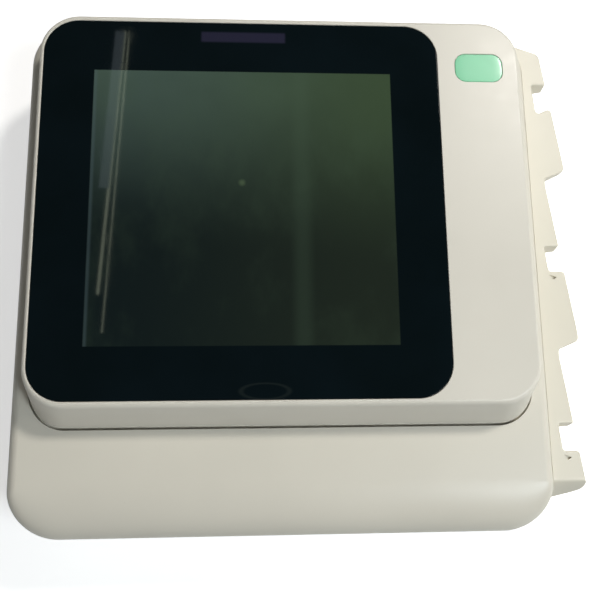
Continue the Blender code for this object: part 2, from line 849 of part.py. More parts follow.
# Screws with a round head below and a driver recess in it, all along Z
def make_screws(name, places, head_bottom, sizes, pivot=None):
    head_radius, head_height, radius, length = sizes
    socket = head_radius / 2
    stations = (
        (socket, head_bottom + head_height / 2),
        (socket, head_bottom),
        (head_radius, head_bottom),
        (head_radius, head_bottom + head_height),
        (radius, head_bottom + head_height),
        (radius, head_bottom + length),
    )
    places = list(places)
    for number, place in enumerate(places, 1):
        mesh = bmesh.new()
        add_turned(mesh, (*place, 0), "Z", stations, 10)
        label = name if len(places) == 1 else name + "_" + str(number)
        make_piece(label, mesh, "steel", pivot)


def make_case_screws():
    head_bottom = CASE_BOTTOM + SCREW_SINK - GAP - SCREW_HEAD_HEIGHT
    length = SEAM_HEIGHT + SCREW_LENGTH - SCREW_SINK - GAP - head_bottom
    sizes = (SCREW_HEAD_RADIUS, SCREW_HEAD_HEIGHT, SCREW_RADIUS, length)
    make_screws("case_screw", boss_places(), head_bottom, sizes)


# Transducer rack

def rack_middle():
    return RACK_TOP - RACK_HEIGHT / 2


# The slanted outer edge's distance from the case at a place behind or ahead of the notch
def rack_edge(notch, y):
    run = RACK_ARM + RACK_NOTCH + RACK_TAB - RACK_TIP_ROUND
    return RACK_RECESS + (RACK_REACH - RACK_RECESS) * (notch + RACK_ARM - y) / run


def rack_corners():
    notches = notch_places()
    rear = case_rear - RACK_REAR_INSET
    front = case_front + RACK_FRONT_INSET
    corners = [(rack_edge(notches[0], rear), rear, RACK_TIP_ROUND)]
    for notch in notches:
        front_wall = notch - RACK_NOTCH
        corners.append((rack_edge(notch, notch), notch, RACK_EDGE_ROUND))
        corners.append((RACK_ROOT_REAR, notch, RACK_EDGE_ROUND))
        corners.append((RACK_ROOT_FRONT, front_wall, RACK_EDGE_ROUND))
        corners.append((rack_edge(notch, front_wall), front_wall, RACK_EDGE_ROUND))
        if notch == notches[-1]:
            tip = front_wall - RACK_LAST_TAB
            corners.append((rack_edge(notch, tip), tip, RACK_TIP_ROUND))
        else:
            tip = front_wall - RACK_TAB
            corners.append((RACK_REACH, tip + RACK_TIP_ROUND, RACK_TIP_ROUND / 2))
            corners.append((RACK_REACH, tip, RACK_TIP_ROUND / 2))
            corners.append((RACK_RECESS, tip - RACK_TAB_SLANT, RACK_EDGE_ROUND))
            corners.append((RACK_RECESS, notch - RACK_PITCH + RACK_ARM, RACK_EDGE_ROUND))
    corners = [(case_right + x, y, radius) for x, y, radius in corners]
    return rack_end(front - RACK_FRONT_SLANT, 0) + corners[::-1] + rack_end(0, rear + RACK_REAR_SLANT)


# A square end well inside the case, which the case's own outline then cuts away
def rack_end(front, rear):
    inside = case_right - CASE_CORNER / 2
    if front:
        return [(inside, front + RACK_FRONT_SLANT, 0), (case_right - RACK_ROOT_REAR, front, 0)]
    return [(case_right - RACK_ROOT_REAR, rear, 0), (inside, rear - RACK_REAR_SLANT, 0)]


def make_rack():
    mesh = bmesh.new()
    add_prism(mesh, rounded_polygon(rack_corners()), RACK_TOP - RACK_HEIGHT, RACK_TOP)
    rack = make_piece("transducer_holder", mesh, "rack_plastic")
    cut(rack, "seat", cut_rack_seat)
    cut(rack, "pockets", cut_rack_pockets)


def cut_rack_seat(mesh):
    outline = [(x, y) for x, y, across, along in case_columns(-RACK_GAP)]
    add_prism(mesh, outline, RACK_TOP - RACK_HEIGHT - OVERRUN, RACK_TOP + OVERRUN)


# Hollows in the underside behind each tab and arm, and the small marks beside each notch
def cut_rack_pockets(mesh):
    notches = notch_places()
    for i, notch in enumerate(notches):
        last = notch == notches[-1]
        start = notch - RACK_NOTCH - RACK_WALL
        end = notch - RACK_NOTCH - (RACK_LAST_TAB if last else RACK_TAB) + RACK_TIP_ROUND
        add_pocket_cells(mesh, notch, start, end)
        start = case_rear - CASE_CORNER if i == 0 else notch + RACK_ARM - RACK_WALL
        add_pocket_cells(mesh, notch, start, notch + RACK_WALL)
        add_notch_spot(mesh, notch)
    for y in rack_screw_places():
        radius = RACK_SCREW_RADIUS + GAP
        end = case_right - CASE_WALL + RACK_SCREW_LENGTH + GAP
        add_bar(mesh, (0, y, rack_middle()), "X", case_right, end, radius, sides=12)


# Two cells with a rib between them, their outer side along the slanted edge
def add_pocket_cells(mesh, notch, start, end):
    inner = case_right + RACK_GAP + RACK_WALL
    bottom = RACK_TOP - RACK_HEIGHT - OVERRUN
    middle = (start + end) / 2
    for rear, front in ((start, middle + RACK_WALL / 2), (middle - RACK_WALL / 2, end)):
        outer_rear = case_right + rack_edge(notch, rear) - RACK_WALL
        outer_front = case_right + rack_edge(notch, front) - RACK_WALL
        outline = [(inner, front), (outer_front, front), (outer_rear, rear), (inner, rear)]
        add_prism(mesh, outline, bottom, RACK_TOP - RACK_SKIN)


def add_notch_spot(mesh, notch):
    y = notch - RACK_NOTCH - SPOT_INSET
    x = case_right + RACK_ROOT_FRONT + SPOT_LENGTH / 2
    outline = [(x - SPOT_LENGTH / 2, y + SPOT_WIDTH / 2), (x, y - SPOT_WIDTH / 2), (x + SPOT_LENGTH / 2, y)]
    add_prism(mesh, outline, RACK_TOP - SPOT_DEPTH, RACK_TOP + OVERRUN)


def make_rack_screws():
    wall = case_right - CASE_WALL - GAP
    head = wall - SCREW_HEAD_HEIGHT
    stations = (
        (SCREW_HEAD_RADIUS / 2, head + SCREW_HEAD_HEIGHT / 2),
        (SCREW_HEAD_RADIUS / 2, head),
        (SCREW_HEAD_RADIUS, head),
        (SCREW_HEAD_RADIUS, wall),
        (RACK_SCREW_RADIUS, wall),
        (RACK_SCREW_RADIUS, wall + RACK_SCREW_LENGTH),
    )
    for number, y in enumerate(rack_screw_places(), 1):
        mesh = bmesh.new()
        add_turned(mesh, (0, y, rack_middle()), "X", stations, 10)
        make_piece("holder_screw_" + str(number), mesh, "steel")


# Transducer sockets

def make_sockets():
    for number, y in enumerate(socket_places(), 1):
        face = case_left + GAP
        stations = (
            (SOCKET_BORE, face + SOCKET_BORE_DEPTH),
            (SOCKET_BORE, face),
            (SOCKET_FLANGE, face),
            (SOCKET_FLANGE, case_left + SOCKET_FLANGE_DEPTH),
            (SOCKET_RADIUS, case_left + SOCKET_FLANGE_DEPTH),
            (SOCKET_RADIUS, face + SOCKET_DEPTH),
        )
        mesh = bmesh.new()
        add_turned(mesh, (0, y, SOCKET_HEIGHT), "X", stations, 20)
        socket = make_piece("transducer_socket_" + str(number), mesh, "grey_plastic")
        fuse(socket, "contacts", lambda pins, y=y: add_contacts(pins, y))


def add_contacts(mesh, y):
    back = case_left + GAP + SOCKET_BORE_DEPTH
    for i in range(CONTACT_COUNT):
        angle = 2 * math.pi * i / CONTACT_COUNT
        side = y + CONTACT_RING * math.cos(angle)
        height = SOCKET_HEIGHT + CONTACT_RING * math.sin(angle)
        start = back - CONTACT_REACH
        end = back + CONTACT_REACH / 5
        add_bar(mesh, (0, side, height), "X", start, end, CONTACT_RADIUS, sides=6)


# Connectors in the rear bay

# A block through the bay's wall with a rim outside it and a recess in its rear face
def add_port_block(mesh, x, width, height, depth, rim):
    low = (x - width / 2 + rim, bay_wall_rear - depth, BAY_CENTRE - height / 2 + rim)
    high = (x + width / 2 - rim, bay_wall_rear + 2 * GAP, BAY_CENTRE + height / 2 - rim)
    add_box(mesh, low, high)


def add_port_rim(mesh, x, width, height, thickness):
    low = (x - width / 2, bay_wall_rear + GAP, BAY_CENTRE - height / 2)
    high = (x + width / 2, bay_wall_rear + GAP + thickness, BAY_CENTRE + height / 2)
    add_box(mesh, low, high)


def add_port_recess(mesh, x, width, height, depth):
    low = (x - width / 2, bay_wall_rear - depth, BAY_CENTRE - height / 2)
    high = (x + width / 2, bay_wall_rear + OVERRUN * 2, BAY_CENTRE + height / 2)
    add_box(mesh, low, high)


def make_mains_inlet():
    x = bay_x + INLET_SHIFT
    mesh = bmesh.new()
    add_port_block(mesh, x, INLET_WIDTH, INLET_HEIGHT, INLET_BODY_DEPTH, INLET_RIM)
    inlet = make_piece("mains_inlet", mesh, "black_plastic")
    fuse(inlet, "rim", lambda rim: add_port_rim(rim, x, INLET_WIDTH, INLET_HEIGHT, INLET_RIM))
    cut(inlet, "recess", lambda room: add_port_recess(
        room, x, INLET_RECESS_WIDTH, INLET_RECESS_HEIGHT, INLET_RECESS_DEPTH))
    fuse(inlet, "blades", lambda blades: add_blades(blades, x))


def add_blades(mesh, x):
    back = bay_wall_rear - INLET_RECESS_DEPTH
    for side in (-1, 0, 1):
        middle_x = x + side * BLADE_SPREAD
        middle_z = BAY_CENTRE + (BLADE_RAISE if side == 0 else -BLADE_RAISE / 2)
        low = (middle_x - BLADE_WIDTH / 2, back - OVERRUN, middle_z - BLADE_HEIGHT / 2)
        high = (middle_x + BLADE_WIDTH / 2, back + BLADE_LENGTH, middle_z + BLADE_HEIGHT / 2)
        add_box(mesh, low, high)


def make_network_port():
    x = bay_x + NETWORK_SHIFT
    mesh = bmesh.new()
    add_port_block(mesh, x, NETWORK_WIDTH, NETWORK_HEIGHT, PORT_DEPTH, 0)
    port = make_piece("network_port", mesh, "steel")
    cut(port, "recess", lambda room: add_port_recess(
        room, x, NETWORK_RECESS_WIDTH, NETWORK_RECESS_HEIGHT, PORT_RECESS_DEPTH))


def make_usb_port():
    x = bay_x + USB_SHIFT
    mesh = bmesh.new()
    add_port_block(mesh, x, USB_WIDTH, USB_HEIGHT, PORT_DEPTH, 0)
    port = make_piece("usb_port", mesh, "steel")
    cut(port, "recess", lambda room: add_port_recess(
        room, x, USB_RECESS_WIDTH, USB_RECESS_HEIGHT, PORT_RECESS_DEPTH))
    fuse(port, "tongue", lambda tongue: add_tongue(tongue, x))


def add_tongue(mesh, x):
    half_width = USB_RECESS_WIDTH / 2 - TONGUE_HEIGHT / 2
    back = bay_wall_rear - PORT_RECESS_DEPTH
    top = BAY_CENTRE + USB_RECESS_HEIGHT / 2 - TONGUE_HEIGHT / 2
    low = (x - half_width, back - OVERRUN / 2, top - TONGUE_HEIGHT)
    add_box(mesh, low, (x + half_width, bay_wall_rear - TONGUE_HEIGHT, top))


def make_earth_post():
    centre = (bay_x + POST_SHIFT, 0, BAY_CENTRE)
    flange_start = bay_wall_rear + GAP
    mesh = bmesh.new()
    add_bar(mesh, centre, "Y", flange_start - POST_TAIL, flange_start + POST_REACH, POST_RADIUS, sides=16)
    post = make_piece("earth_post", mesh, "brass")
    end = flange_start + POST_REACH / 4
    fuse(post, "flange", lambda ring: add_bar(ring, centre, "Y", flange_start, end, POST_FLANGE, sides=6))


# Battery and its cover

def make_battery():
    x = case_x + BATTERY_SHIFT_X
    bottom = CASE_BOTTOM + BATTERY_COVER_THICKNESS + GAP
    low = (x - BATTERY_WIDTH / 2, BATTERY_SHIFT_Y - BATTERY_DEPTH / 2, bottom)
    high = (x + BATTERY_WIDTH / 2, BATTERY_SHIFT_Y + BATTERY_DEPTH / 2, bottom + BATTERY_HEIGHT)
    mesh = bmesh.new()
    add_box(mesh, low, high)
    pack = make_piece("battery_pack", mesh, "battery_blue")
    edge = pack.modifiers.new("edge", "BEVEL")
    edge.width = BATTERY_ROOM / 2
    edge.segments = 2


def make_battery_cover():
    low, high = cover_corners(0)
    mesh = bmesh.new()
    add_box(mesh, (*low, CASE_BOTTOM), (*high, CASE_BOTTOM + BATTERY_COVER_THICKNESS))
    cover = make_piece("battery_cover", mesh, "ivory_plastic")
    cut(cover, "bores", cut_cover_bores)
    fuse(cover, "hook", add_cover_hook)
    fuse(cover, "lip", add_cover_lip)


def cut_cover_bores(mesh):
    for x, y in cover_screw_places():
        sink = CASE_BOTTOM + COVER_SCREW_HEAD_HEIGHT + GAP
        stations = (
            (COVER_SCREW_HEAD + GAP, CASE_BOTTOM - OVERRUN),
            (COVER_SCREW_HEAD + GAP, sink),
            (COVER_SCREW_RADIUS + GAP, sink),
            (COVER_SCREW_RADIUS + GAP, CASE_BOTTOM + BATTERY_COVER_THICKNESS + OVERRUN),
        )
        add_turned(mesh, (x, y, 0), "Z", stations, 10)


# A hook on the left edge that goes up inside the well, with a lip over the floor
def cover_hook_limits():
    edge = case_x + BATTERY_SHIFT_X - BATTERY_WIDTH / 2 - BATTERY_ROOM + GAP
    return edge, BATTERY_SHIFT_Y - HOOK_WIDTH / 2, BATTERY_SHIFT_Y + HOOK_WIDTH / 2, floor_top + GAP


def add_cover_hook(mesh):
    edge, front, rear, lip = cover_hook_limits()
    root = CASE_BOTTOM + BATTERY_COVER_THICKNESS / 2
    add_box(mesh, (edge, front, root), (edge + HOOK_THICKNESS, rear, lip + HOOK_THICKNESS))


def add_cover_lip(mesh):
    edge, front, rear, lip = cover_hook_limits()
    low = (edge - HOOK_REACH, front, lip)
    add_box(mesh, low, (edge + HOOK_THICKNESS / 2, rear, lip + HOOK_THICKNESS))


def make_cover_screw():
    length = BATTERY_COVER_THICKNESS + COVER_SCREW_LENGTH
    sizes = (COVER_SCREW_HEAD, COVER_SCREW_HEAD_HEIGHT, COVER_SCREW_RADIUS, length)
    make_screws("battery_cover_screw", cover_screw_places(), CASE_BOTTOM, sizes)


# Boards, supply and speaker

def make_main_board():
    x = case_x + MAIN_BOARD_SHIFT_X
    half_width = MAIN_BOARD_WIDTH / 2
    half_depth = MAIN_BOARD_DEPTH / 2
    low = (x - half_width, MAIN_BOARD_SHIFT_Y - half_depth, MAIN_BOARD_HEIGHT)
    high = (x + half_width, MAIN_BOARD_SHIFT_Y + half_depth, MAIN_BOARD_HEIGHT + BOARD_THICKNESS)
    mesh = bmesh.new()
    add_box(mesh, low, high)
    board = make_piece("main_board", mesh, "board_green")
    fuse(board, "parts", lambda parts: add_board_parts(parts, x, half_width, half_depth))


# Chips, a shielded front end and two headers, as shares of the board's half sizes
def add_board_parts(mesh, x, half_width, half_depth):
    part_shares = (
        (-0.55, -0.45, 0.30, 0.28, SHIELD_HEIGHT),
        (0.20, -0.40, 0.22, 0.22, CHIP_HEIGHT),
        (0.62, 0.10, 0.14, 0.16, CHIP_HEIGHT),
        (-0.25, 0.45, 0.20, 0.14, CHIP_HEIGHT),
        (0.45, 0.80, 0.30, 0.06, HEADER_HEIGHT),
        (-0.88, 0.20, 0.05, 0.30, HEADER_HEIGHT),
    )
    seat = MAIN_BOARD_HEIGHT + BOARD_THICKNESS / 2
    for across, along, width, depth, height in part_shares:
        left = x + (across - width) * half_width
        right = x + (across + width) * half_width
        front = MAIN_BOARD_SHIFT_Y + (along - depth) * half_depth
        rear = MAIN_BOARD_SHIFT_Y + (along + depth) * half_depth
        add_box(mesh, (left, front, seat), (right, rear, seat + BOARD_THICKNESS / 2 + height))


def make_power_supply():
    x = case_x + SUPPLY_SHIFT_X
    low = (x - SUPPLY_WIDTH / 2, SUPPLY_SHIFT_Y - SUPPLY_DEPTH / 2, floor_top + GAP)
    high = (x + SUPPLY_WIDTH / 2, SUPPLY_SHIFT_Y + SUPPLY_DEPTH / 2, floor_top + GAP + SUPPLY_HEIGHT)
    mesh = bmesh.new()
    add_box(mesh, low, high)
    supply = make_piece("power_supply", mesh, "aluminium")
    edge = supply.modifiers.new("edge", "BEVEL")
    edge.width = SUPPLY_EDGE
    edge.segments = 2


def make_speaker():
    x, y = speaker_place()
    bottom = floor_top + GAP
    stations = (
        (SPEAKER_RADIUS - SPEAKER_RIM, bottom + SPEAKER_RIM / 2),
        (SPEAKER_RADIUS - SPEAKER_RIM, bottom),
        (SPEAKER_RADIUS, bottom),
        (SPEAKER_RADIUS, bottom + SPEAKER_RIM),
        (SPEAKER_MAGNET, bottom + SPEAKER_HEIGHT / 2),
        (SPEAKER_MAGNET, bottom + SPEAKER_HEIGHT),
    )
    mesh = bmesh.new()
    add_turned(mesh, (x, y, 0), "Z", stations, 18)
    make_piece("speaker", mesh, "black_plastic")


# Lid hinges

def make_hinge_brackets():
    for side, x in hinge_places().items():
        mesh = bmesh.new()
        half = BARREL_LENGTH / 2
        add_bar(mesh, (0, hinge_y, hinge_z), "X", x - half, x + half, BARREL_RADIUS, sides=16)
        bracket = make_piece("hinge_bracket_" + side, mesh, "steel")
        fuse(bracket, "leg", lambda leg, x=x: add_bracket_leg(leg, x))
        fuse(bracket, "flange", lambda flange, x=x: add_bracket_flange(flange, x))
        cut(bracket, "bore", lambda bore, x=x: add_hinge_bore(bore, x))


def add_bracket_leg(mesh, x):
    half = BARREL_LENGTH / 2
    low = (x - half, hinge_y - LEG_THICKNESS / 2, ceiling - GAP - FLANGE_THICKNESS / 2)
    add_box(mesh, low, (x + half, hinge_y + LEG_THICKNESS / 2, hinge_z))


def add_bracket_flange(mesh, x):
    top = ceiling - GAP
    low = (x - FLANGE_WIDTH / 2, hinge_y - FLANGE_DEPTH / 2, top - FLANGE_THICKNESS)
    add_box(mesh, low, (x + FLANGE_WIDTH / 2, hinge_y + FLANGE_DEPTH / 2, top))


def add_hinge_bore(mesh, x):
    reach = BARREL_LENGTH / 2 + KNUCKLE_GAP + KNUCKLE_LENGTH + OVERRUN
    add_bar(mesh, (0, hinge_y, hinge_z), "X", x - reach, x + reach, PIN_RADIUS + GAP, sides=16)


def make_hinge_pins():
    for side, x in hinge_places().items():
        mesh = bmesh.new()
        reach = BARREL_LENGTH / 2 + KNUCKLE_GAP + KNUCKLE_LENGTH
        add_bar(mesh, (0, hinge_y, hinge_z), "X", x - reach, x + reach, PIN_RADIUS, sides=16)
        make_piece("hinge_pin_" + side, mesh, "steel")


def make_hinge_leaves(pivot):
    for side, x in hinge_places().items():
        mesh = bmesh.new()
        reach = BARREL_LENGTH / 2 + KNUCKLE_GAP + KNUCKLE_LENGTH
        front = hinge_y - LEAF_REACH
        rear = hinge_y - BARREL_RADIUS - POCKET_CLEARANCE
        bottom = hinge_z - LEAF_THICKNESS / 2
        add_box(mesh, (x - reach, front, bottom), (x + reach, rear, bottom + LEAF_THICKNESS))
        leaf = make_piece("hinge_leaf_" + side, mesh, "steel", pivot)
        fuse(leaf, "tongues", lambda tongues, x=x: add_leaf_tongues(tongues, x))
        fuse(leaf, "knuckles", lambda knuckles, x=x: add_knuckles(knuckles, x))
        cut(leaf, "bore", lambda bore, x=x: add_hinge_bore(bore, x))


def knuckle_spans(x):
    inner = BARREL_LENGTH / 2 + KNUCKLE_GAP
    outer = inner + KNUCKLE_LENGTH
    return (x - outer, x - inner), (x + inner, x + outer)


def add_leaf_tongues(mesh, x):
    front = hinge_y - BARREL_RADIUS - 2 * POCKET_CLEARANCE
    for start, end in knuckle_spans(x):
        low = (start + GAP, front, hinge_z - LEAF_THICKNESS / 2 + GAP)
        add_box(mesh, low, (end - GAP, hinge_y, hinge_z + LEAF_THICKNESS / 2 - GAP))


def add_knuckles(mesh, x):
    for start, end in knuckle_spans(x):
        add_bar(mesh, (0, hinge_y, hinge_z), "X", start, end, BARREL_RADIUS, sides=16)


# Screen lid

def lid_front_at(height):
    return lid_front + LID_FRONT_RUN * (height - lid_bottom) / LID_THICKNESS


# The rear face turns under round the hinge axis, so the lid clears the deck as it tips up
def lid_rear_at(height, inset):
    if height >= hinge_z:
        return lid_rear - inset
    reach = (LID_REAR_ROUND - inset) ** 2 - (hinge_z - height) ** 2
    return hinge_y + math.sqrt(max(reach, 0))


def lid_ring(height, inset, rear=None):
    columns = rounded_columns(
        lid_left + inset,
        lid_right - inset,
        lid_front_at(height) + inset,
        lid_rear_at(height, inset) if rear is None else rear,
        LID_CORNER - inset,
    )
    return level_ring(columns, height)


def make_screen_housing(pivot):
    rise_shares = (0, 0.15, 0.35, 0.65, 1)
    outer = [lid_ring(lid_bottom + share * LID_REAR_ROUND, 0) for share in rise_shares]
    for degrees in turn_steps(EDGE_STEPS):
        lean = 1 - math.cos(math.radians(degrees))
        drop = 1 - math.sin(math.radians(degrees))
        height = lid_top - LID_TOP_ROUND * drop
        outer.append(lid_ring(height, LID_TOP_ROUND * lean))
    inner_reach = LID_REAR_ROUND - LID_WALL
    drop_shares = (0, 0.5, 0.85, 1)
    heights = [lid_ceiling] + [hinge_z - inner_reach * share for share in drop_shares]
    inner = [lid_ring(height, LID_WALL) for height in heights]
    lip = hinge_y - LID_WALL
    inner += [lid_ring(height, LID_WALL, lip) for height in (heights[-1] - GAP, lid_bottom)]
    mesh = bmesh.new()
    add_loft(mesh, inner + outer)
    housing = make_piece("screen_housing", mesh, "ivory_plastic", pivot)
    fuse(housing, "bosses", add_housing_bosses)
    cut(housing, "glass_seat", cut_glass_seat)
    cut(housing, "openings", cut_housing_openings)


def lid_boss_places():
    for x in (lid_left + LID_BOSS_SIDE_INSET, lid_right - LID_BOSS_SIDE_INSET):
        for y in (lid_front + LID_BOSS_FRONT_INSET, lid_rear - LID_BOSS_REAR_INSET):
            yield x, y


def leaf_boss_places():
    y = hinge_y - (LEAF_REACH + BARREL_RADIUS + POCKET_CLEARANCE) / 2
    for x in hinge_places().values():
        for side in (-1, 1):
            yield x + side * BARREL_LENGTH / 2, y


def add_housing_bosses(mesh):
    root = lid_ceiling + LID_TOP_WALL / 4
    for x, y in lid_boss_places():
        add_bar(mesh, (x, y, 0), "Z", back_top + GAP, root, LID_BOSS_RADIUS, sides=12)
    for x, y in leaf_boss_places():
        seat = hinge_z + LEAF_THICKNESS / 2 + GAP
        add_bar(mesh, (x, y, 0), "Z", seat, root, LID_BOSS_RADIUS, sides=12)


def cut_glass_seat(mesh):
    outline = rounded_outline(
        glass_left - GAP, glass_right + GAP, glass_front - GAP, glass_rear + GAP, GLASS_CORNER + GAP)
    add_prism(mesh, outline, glass_seat, lid_top + OVERRUN)
    x, y = badge_place()
    half_width = BADGE_WIDTH / 2 + GAP
    half_depth = BADGE_DEPTH / 2 + GAP
    outline = rounded_outline(x - half_width, x + half_width, y - half_depth, y + half_depth, BADGE_CORNER, 5)
    add_prism(mesh, outline, lid_top - BADGE_THICKNESS - GAP, lid_top + OVERRUN)


def badge_place():
    return lid_right - BADGE_SIDE_INSET, lid_rear - BADGE_REAR_INSET


def panel_half():
    return DISPLAY_WIDTH / 2 + PANEL_RIM, DISPLAY_DEPTH / 2 + PANEL_RIM


def cut_housing_openings(mesh):
    half_width, half_depth = panel_half()
    low = (display_x - half_width - GAP, display_y - half_depth - GAP, lid_ceiling - OVERRUN)
    high = (display_x + half_width + GAP, display_y + half_depth + GAP, lid_top)
    add_box(mesh, low, high)
    low, high = light_corners(GAP)
    add_box(mesh, (*low, lid_ceiling - OVERRUN), (*high, lid_top))
    for x in hinge_places().values():
        add_hinge_pocket(mesh, x)
    for x, y in lid_boss_places():
        end = lid_bottom + LID_SCREW_LENGTH + GAP
        add_bar(mesh, (x, y, 0), "Z", lid_bottom, end, LID_SCREW_RADIUS + GAP, sides=10)


# Room for the fixed barrel and the leaf's knuckles, open below and behind
def add_hinge_pocket(mesh, x):
    half = BARREL_LENGTH / 2 + KNUCKLE_GAP + KNUCKLE_LENGTH + KNUCKLE_GAP
    radius = BARREL_RADIUS + POCKET_CLEARANCE
    low = (x - half, hinge_y - radius - POCKET_CLEARANCE, lid_bottom - OVERRUN)
    add_box(mesh, low, (x + half, lid_rear + OVERRUN, hinge_z + radius))


def light_corners(clearance):
    half_width = LIGHT_WIDTH / 2 + clearance
    y = glass_rear - LIGHT_INSET
    half_depth = LIGHT_DEPTH / 2 + clearance
    return (glass_x - half_width, y - half_depth), (glass_x + half_width, y + half_depth)


def make_screen_back(pivot):
    mesh = bmesh.new()
    lip = hinge_y - LID_WALL
    add_loft(mesh, [lid_ring(height, LID_WALL + GAP, lip - GAP) for height in (lid_bottom, back_top)])
    back = make_piece("screen_back", mesh, "grey_plastic", pivot)
    cut(back, "pockets", cut_back_pockets)


def cut_back_pockets(mesh):
    for x in hinge_places().values():
        add_hinge_pocket(mesh, x)
    for x, y in lid_boss_places():
        sink = lid_bottom + LID_SCREW_HEAD_HEIGHT + GAP
        stations = (
            (LID_SCREW_HEAD + GAP, lid_bottom - OVERRUN),
            (LID_SCREW_HEAD + GAP, sink),
            (LID_SCREW_RADIUS + GAP, sink),
            (LID_SCREW_RADIUS + GAP, back_top + OVERRUN),
        )
        add_turned(mesh, (x, y, 0), "Z", stations, 10)


def make_lid_screws(pivot):
    sizes = (LID_SCREW_HEAD, LID_SCREW_HEAD_HEIGHT, LID_SCREW_RADIUS, LID_SCREW_LENGTH)
    make_screws("screen_screw", lid_boss_places(), lid_bottom, sizes, pivot)


def make_bumpers(pivot):
    y = lid_front + BUMPER_END_INSET
    places = ((lid_left + BUMPER_SIDE_INSET, y), (lid_right - BUMPER_SIDE_INSET, y))
    for number, place in enumerate(places, 1):
        mesh = bmesh.new()
        add_bar(mesh, (*place, 0), "Z", DECK_HEIGHT + GAP, lid_bottom - GAP, BUMPER_RADIUS, sides=16)
        make_piece("screen_bumper_" + str(number), mesh, "rubber", pivot)


def make_touch_glass(pivot):
    mesh = bmesh.new()
    outline = rounded_outline(glass_left, glass_right, glass_front, glass_rear, GLASS_CORNER)
    add_prism(mesh, outline, lid_top - GLASS_THICKNESS, lid_top)
    make_piece("touch_glass", mesh, "dark_glass", pivot)


def make_lcd_panel(pivot):
    half_width, half_depth = panel_half()
    top = lid_top - GLASS_THICKNESS - GAP
    low = (display_x - half_width, display_y - half_depth, top - PANEL_THICKNESS)
    mesh = bmesh.new()
    add_box(mesh, low, (display_x + half_width, display_y + half_depth, top))
    make_piece("lcd_panel", mesh, "panel_dark", pivot)


def make_display_board(pivot):
    top = lid_top - GLASS_THICKNESS - 2 * GAP - PANEL_THICKNESS
    half_width = DISPLAY_BOARD_WIDTH / 2
    half_depth = DISPLAY_BOARD_DEPTH / 2
    bottom = top - BOARD_THICKNESS
    mesh = bmesh.new()
    low = (display_x - half_width, display_y - half_depth, bottom)
    add_box(mesh, low, (display_x + half_width, display_y + half_depth, top))
    board = make_piece("display_board", mesh, "board_green", pivot)
    fuse(board, "parts", lambda parts: add_display_parts(parts, half_width, half_depth, bottom))


# Two chips and an edge connector under the board, as shares of its half sizes
def add_display_parts(mesh, half_width, half_depth, bottom):
    part_shares = ((-0.4, 0.1, 0.2, 0.3), (0.35, 0.2, 0.18, 0.25), (0, -0.8, 0.6, 0.1))
    for across, along, width, depth in part_shares:
        left = display_x + (across - width) * half_width
        right = display_x + (across + width) * half_width
        front = display_y + (along - depth) * half_depth
        rear = display_y + (along + depth) * half_depth
        low = (left, front, bottom - DISPLAY_BOARD_PARTS)
        add_box(mesh, low, (right, rear, bottom + BOARD_THICKNESS / 2))


def make_alarm_light(pivot):
    low, high = light_corners(0)
    top = glass_seat
    mesh = bmesh.new()
    add_box(mesh, (*low, top - LIGHT_HEIGHT), (*high, top))
    make_piece("alarm_light", mesh, "light_guide", pivot)


def make_badge(pivot):
    x, y = badge_place()
    half_width = BADGE_WIDTH / 2
    half_depth = BADGE_DEPTH / 2
    mesh = bmesh.new()
    outline = rounded_outline(
        x - half_width, x + half_width, y - half_depth, y + half_depth, BADGE_CORNER - GAP, 5)
    add_prism(mesh, outline, lid_top - BADGE_THICKNESS, lid_top)
    make_piece("badge_plate", mesh, "green_plastic", pivot)


# Paper drawer

def make_drawer_front(pivot):
    half = DRAWER_WIDTH / 2
    mesh = bmesh.new()
    low = (case_x - half, case_front, DRAWER_SILL + GAP)
    add_box(mesh, low, (case_x + half, case_front + DRAWER_FRONT_THICKNESS, DRAWER_TOP))
    panel = make_piece("drawer_front", mesh, "ivory_plastic", pivot)
    edge = panel.modifiers.new("edge", "BEVEL")
    edge.width = DRAWER_FRONT_ROUND
    edge.segments = 2


def tray_rear():
    return paper_front + PAPER_DEPTH + 2 * PAPER_ROOM + TRAY_WALL


def make_paper_tray(pivot):
    half = TRAY_WIDTH / 2
    mesh = bmesh.new()
    add_box(mesh, (case_x - half, tray_front, tray_bottom), (case_x + half, tray_rear(), TRAY_SIDE_TOP))
    tray = make_piece("paper_tray", mesh, "grey_plastic", pivot)
    fuse(tray, "ears", add_tray_ears)
    cut(tray, "rooms", cut_tray_rooms)
    cut(tray, "bearings", cut_tray_bearings)


def ear_limits():
    return roller_y - EAR_WIDTH / 2, roller_y + EAR_WIDTH / 2


def add_tray_ears(mesh):
    front, rear = ear_limits()
    for side in (-1, 1):
        outer = case_x + side * TRAY_WIDTH / 2
        inner = outer - side * TRAY_WALL
        low = (min(outer, inner), front, ROLLER_HEIGHT)
        add_box(mesh, low, (max(outer, inner), rear, ROLLER_HEIGHT + EAR_RISE))


def cut_tray_rooms(mesh):
    half = TRAY_WIDTH / 2 - TRAY_WALL
    top = ROLLER_HEIGHT + EAR_RISE + OVERRUN
    bottom = tray_bottom + TRAY_FLOOR
    paper_low = (case_x - half, paper_front, bottom)
    add_box(mesh, paper_low, (case_x + half, tray_rear() - TRAY_WALL, top))
    roller_low = (case_x - half, tray_front - OVERRUN, bottom)
    add_box(mesh, roller_low, (case_x + half, paper_front - TRAY_WALL, top))


def cut_tray_bearings(mesh):
    half = TRAY_WIDTH / 2 + OVERRUN
    centre = (0, roller_y, ROLLER_HEIGHT)
    add_bar(mesh, centre, "X", case_x - half, case_x + half, SHAFT_RADIUS + GAP, sides=20)


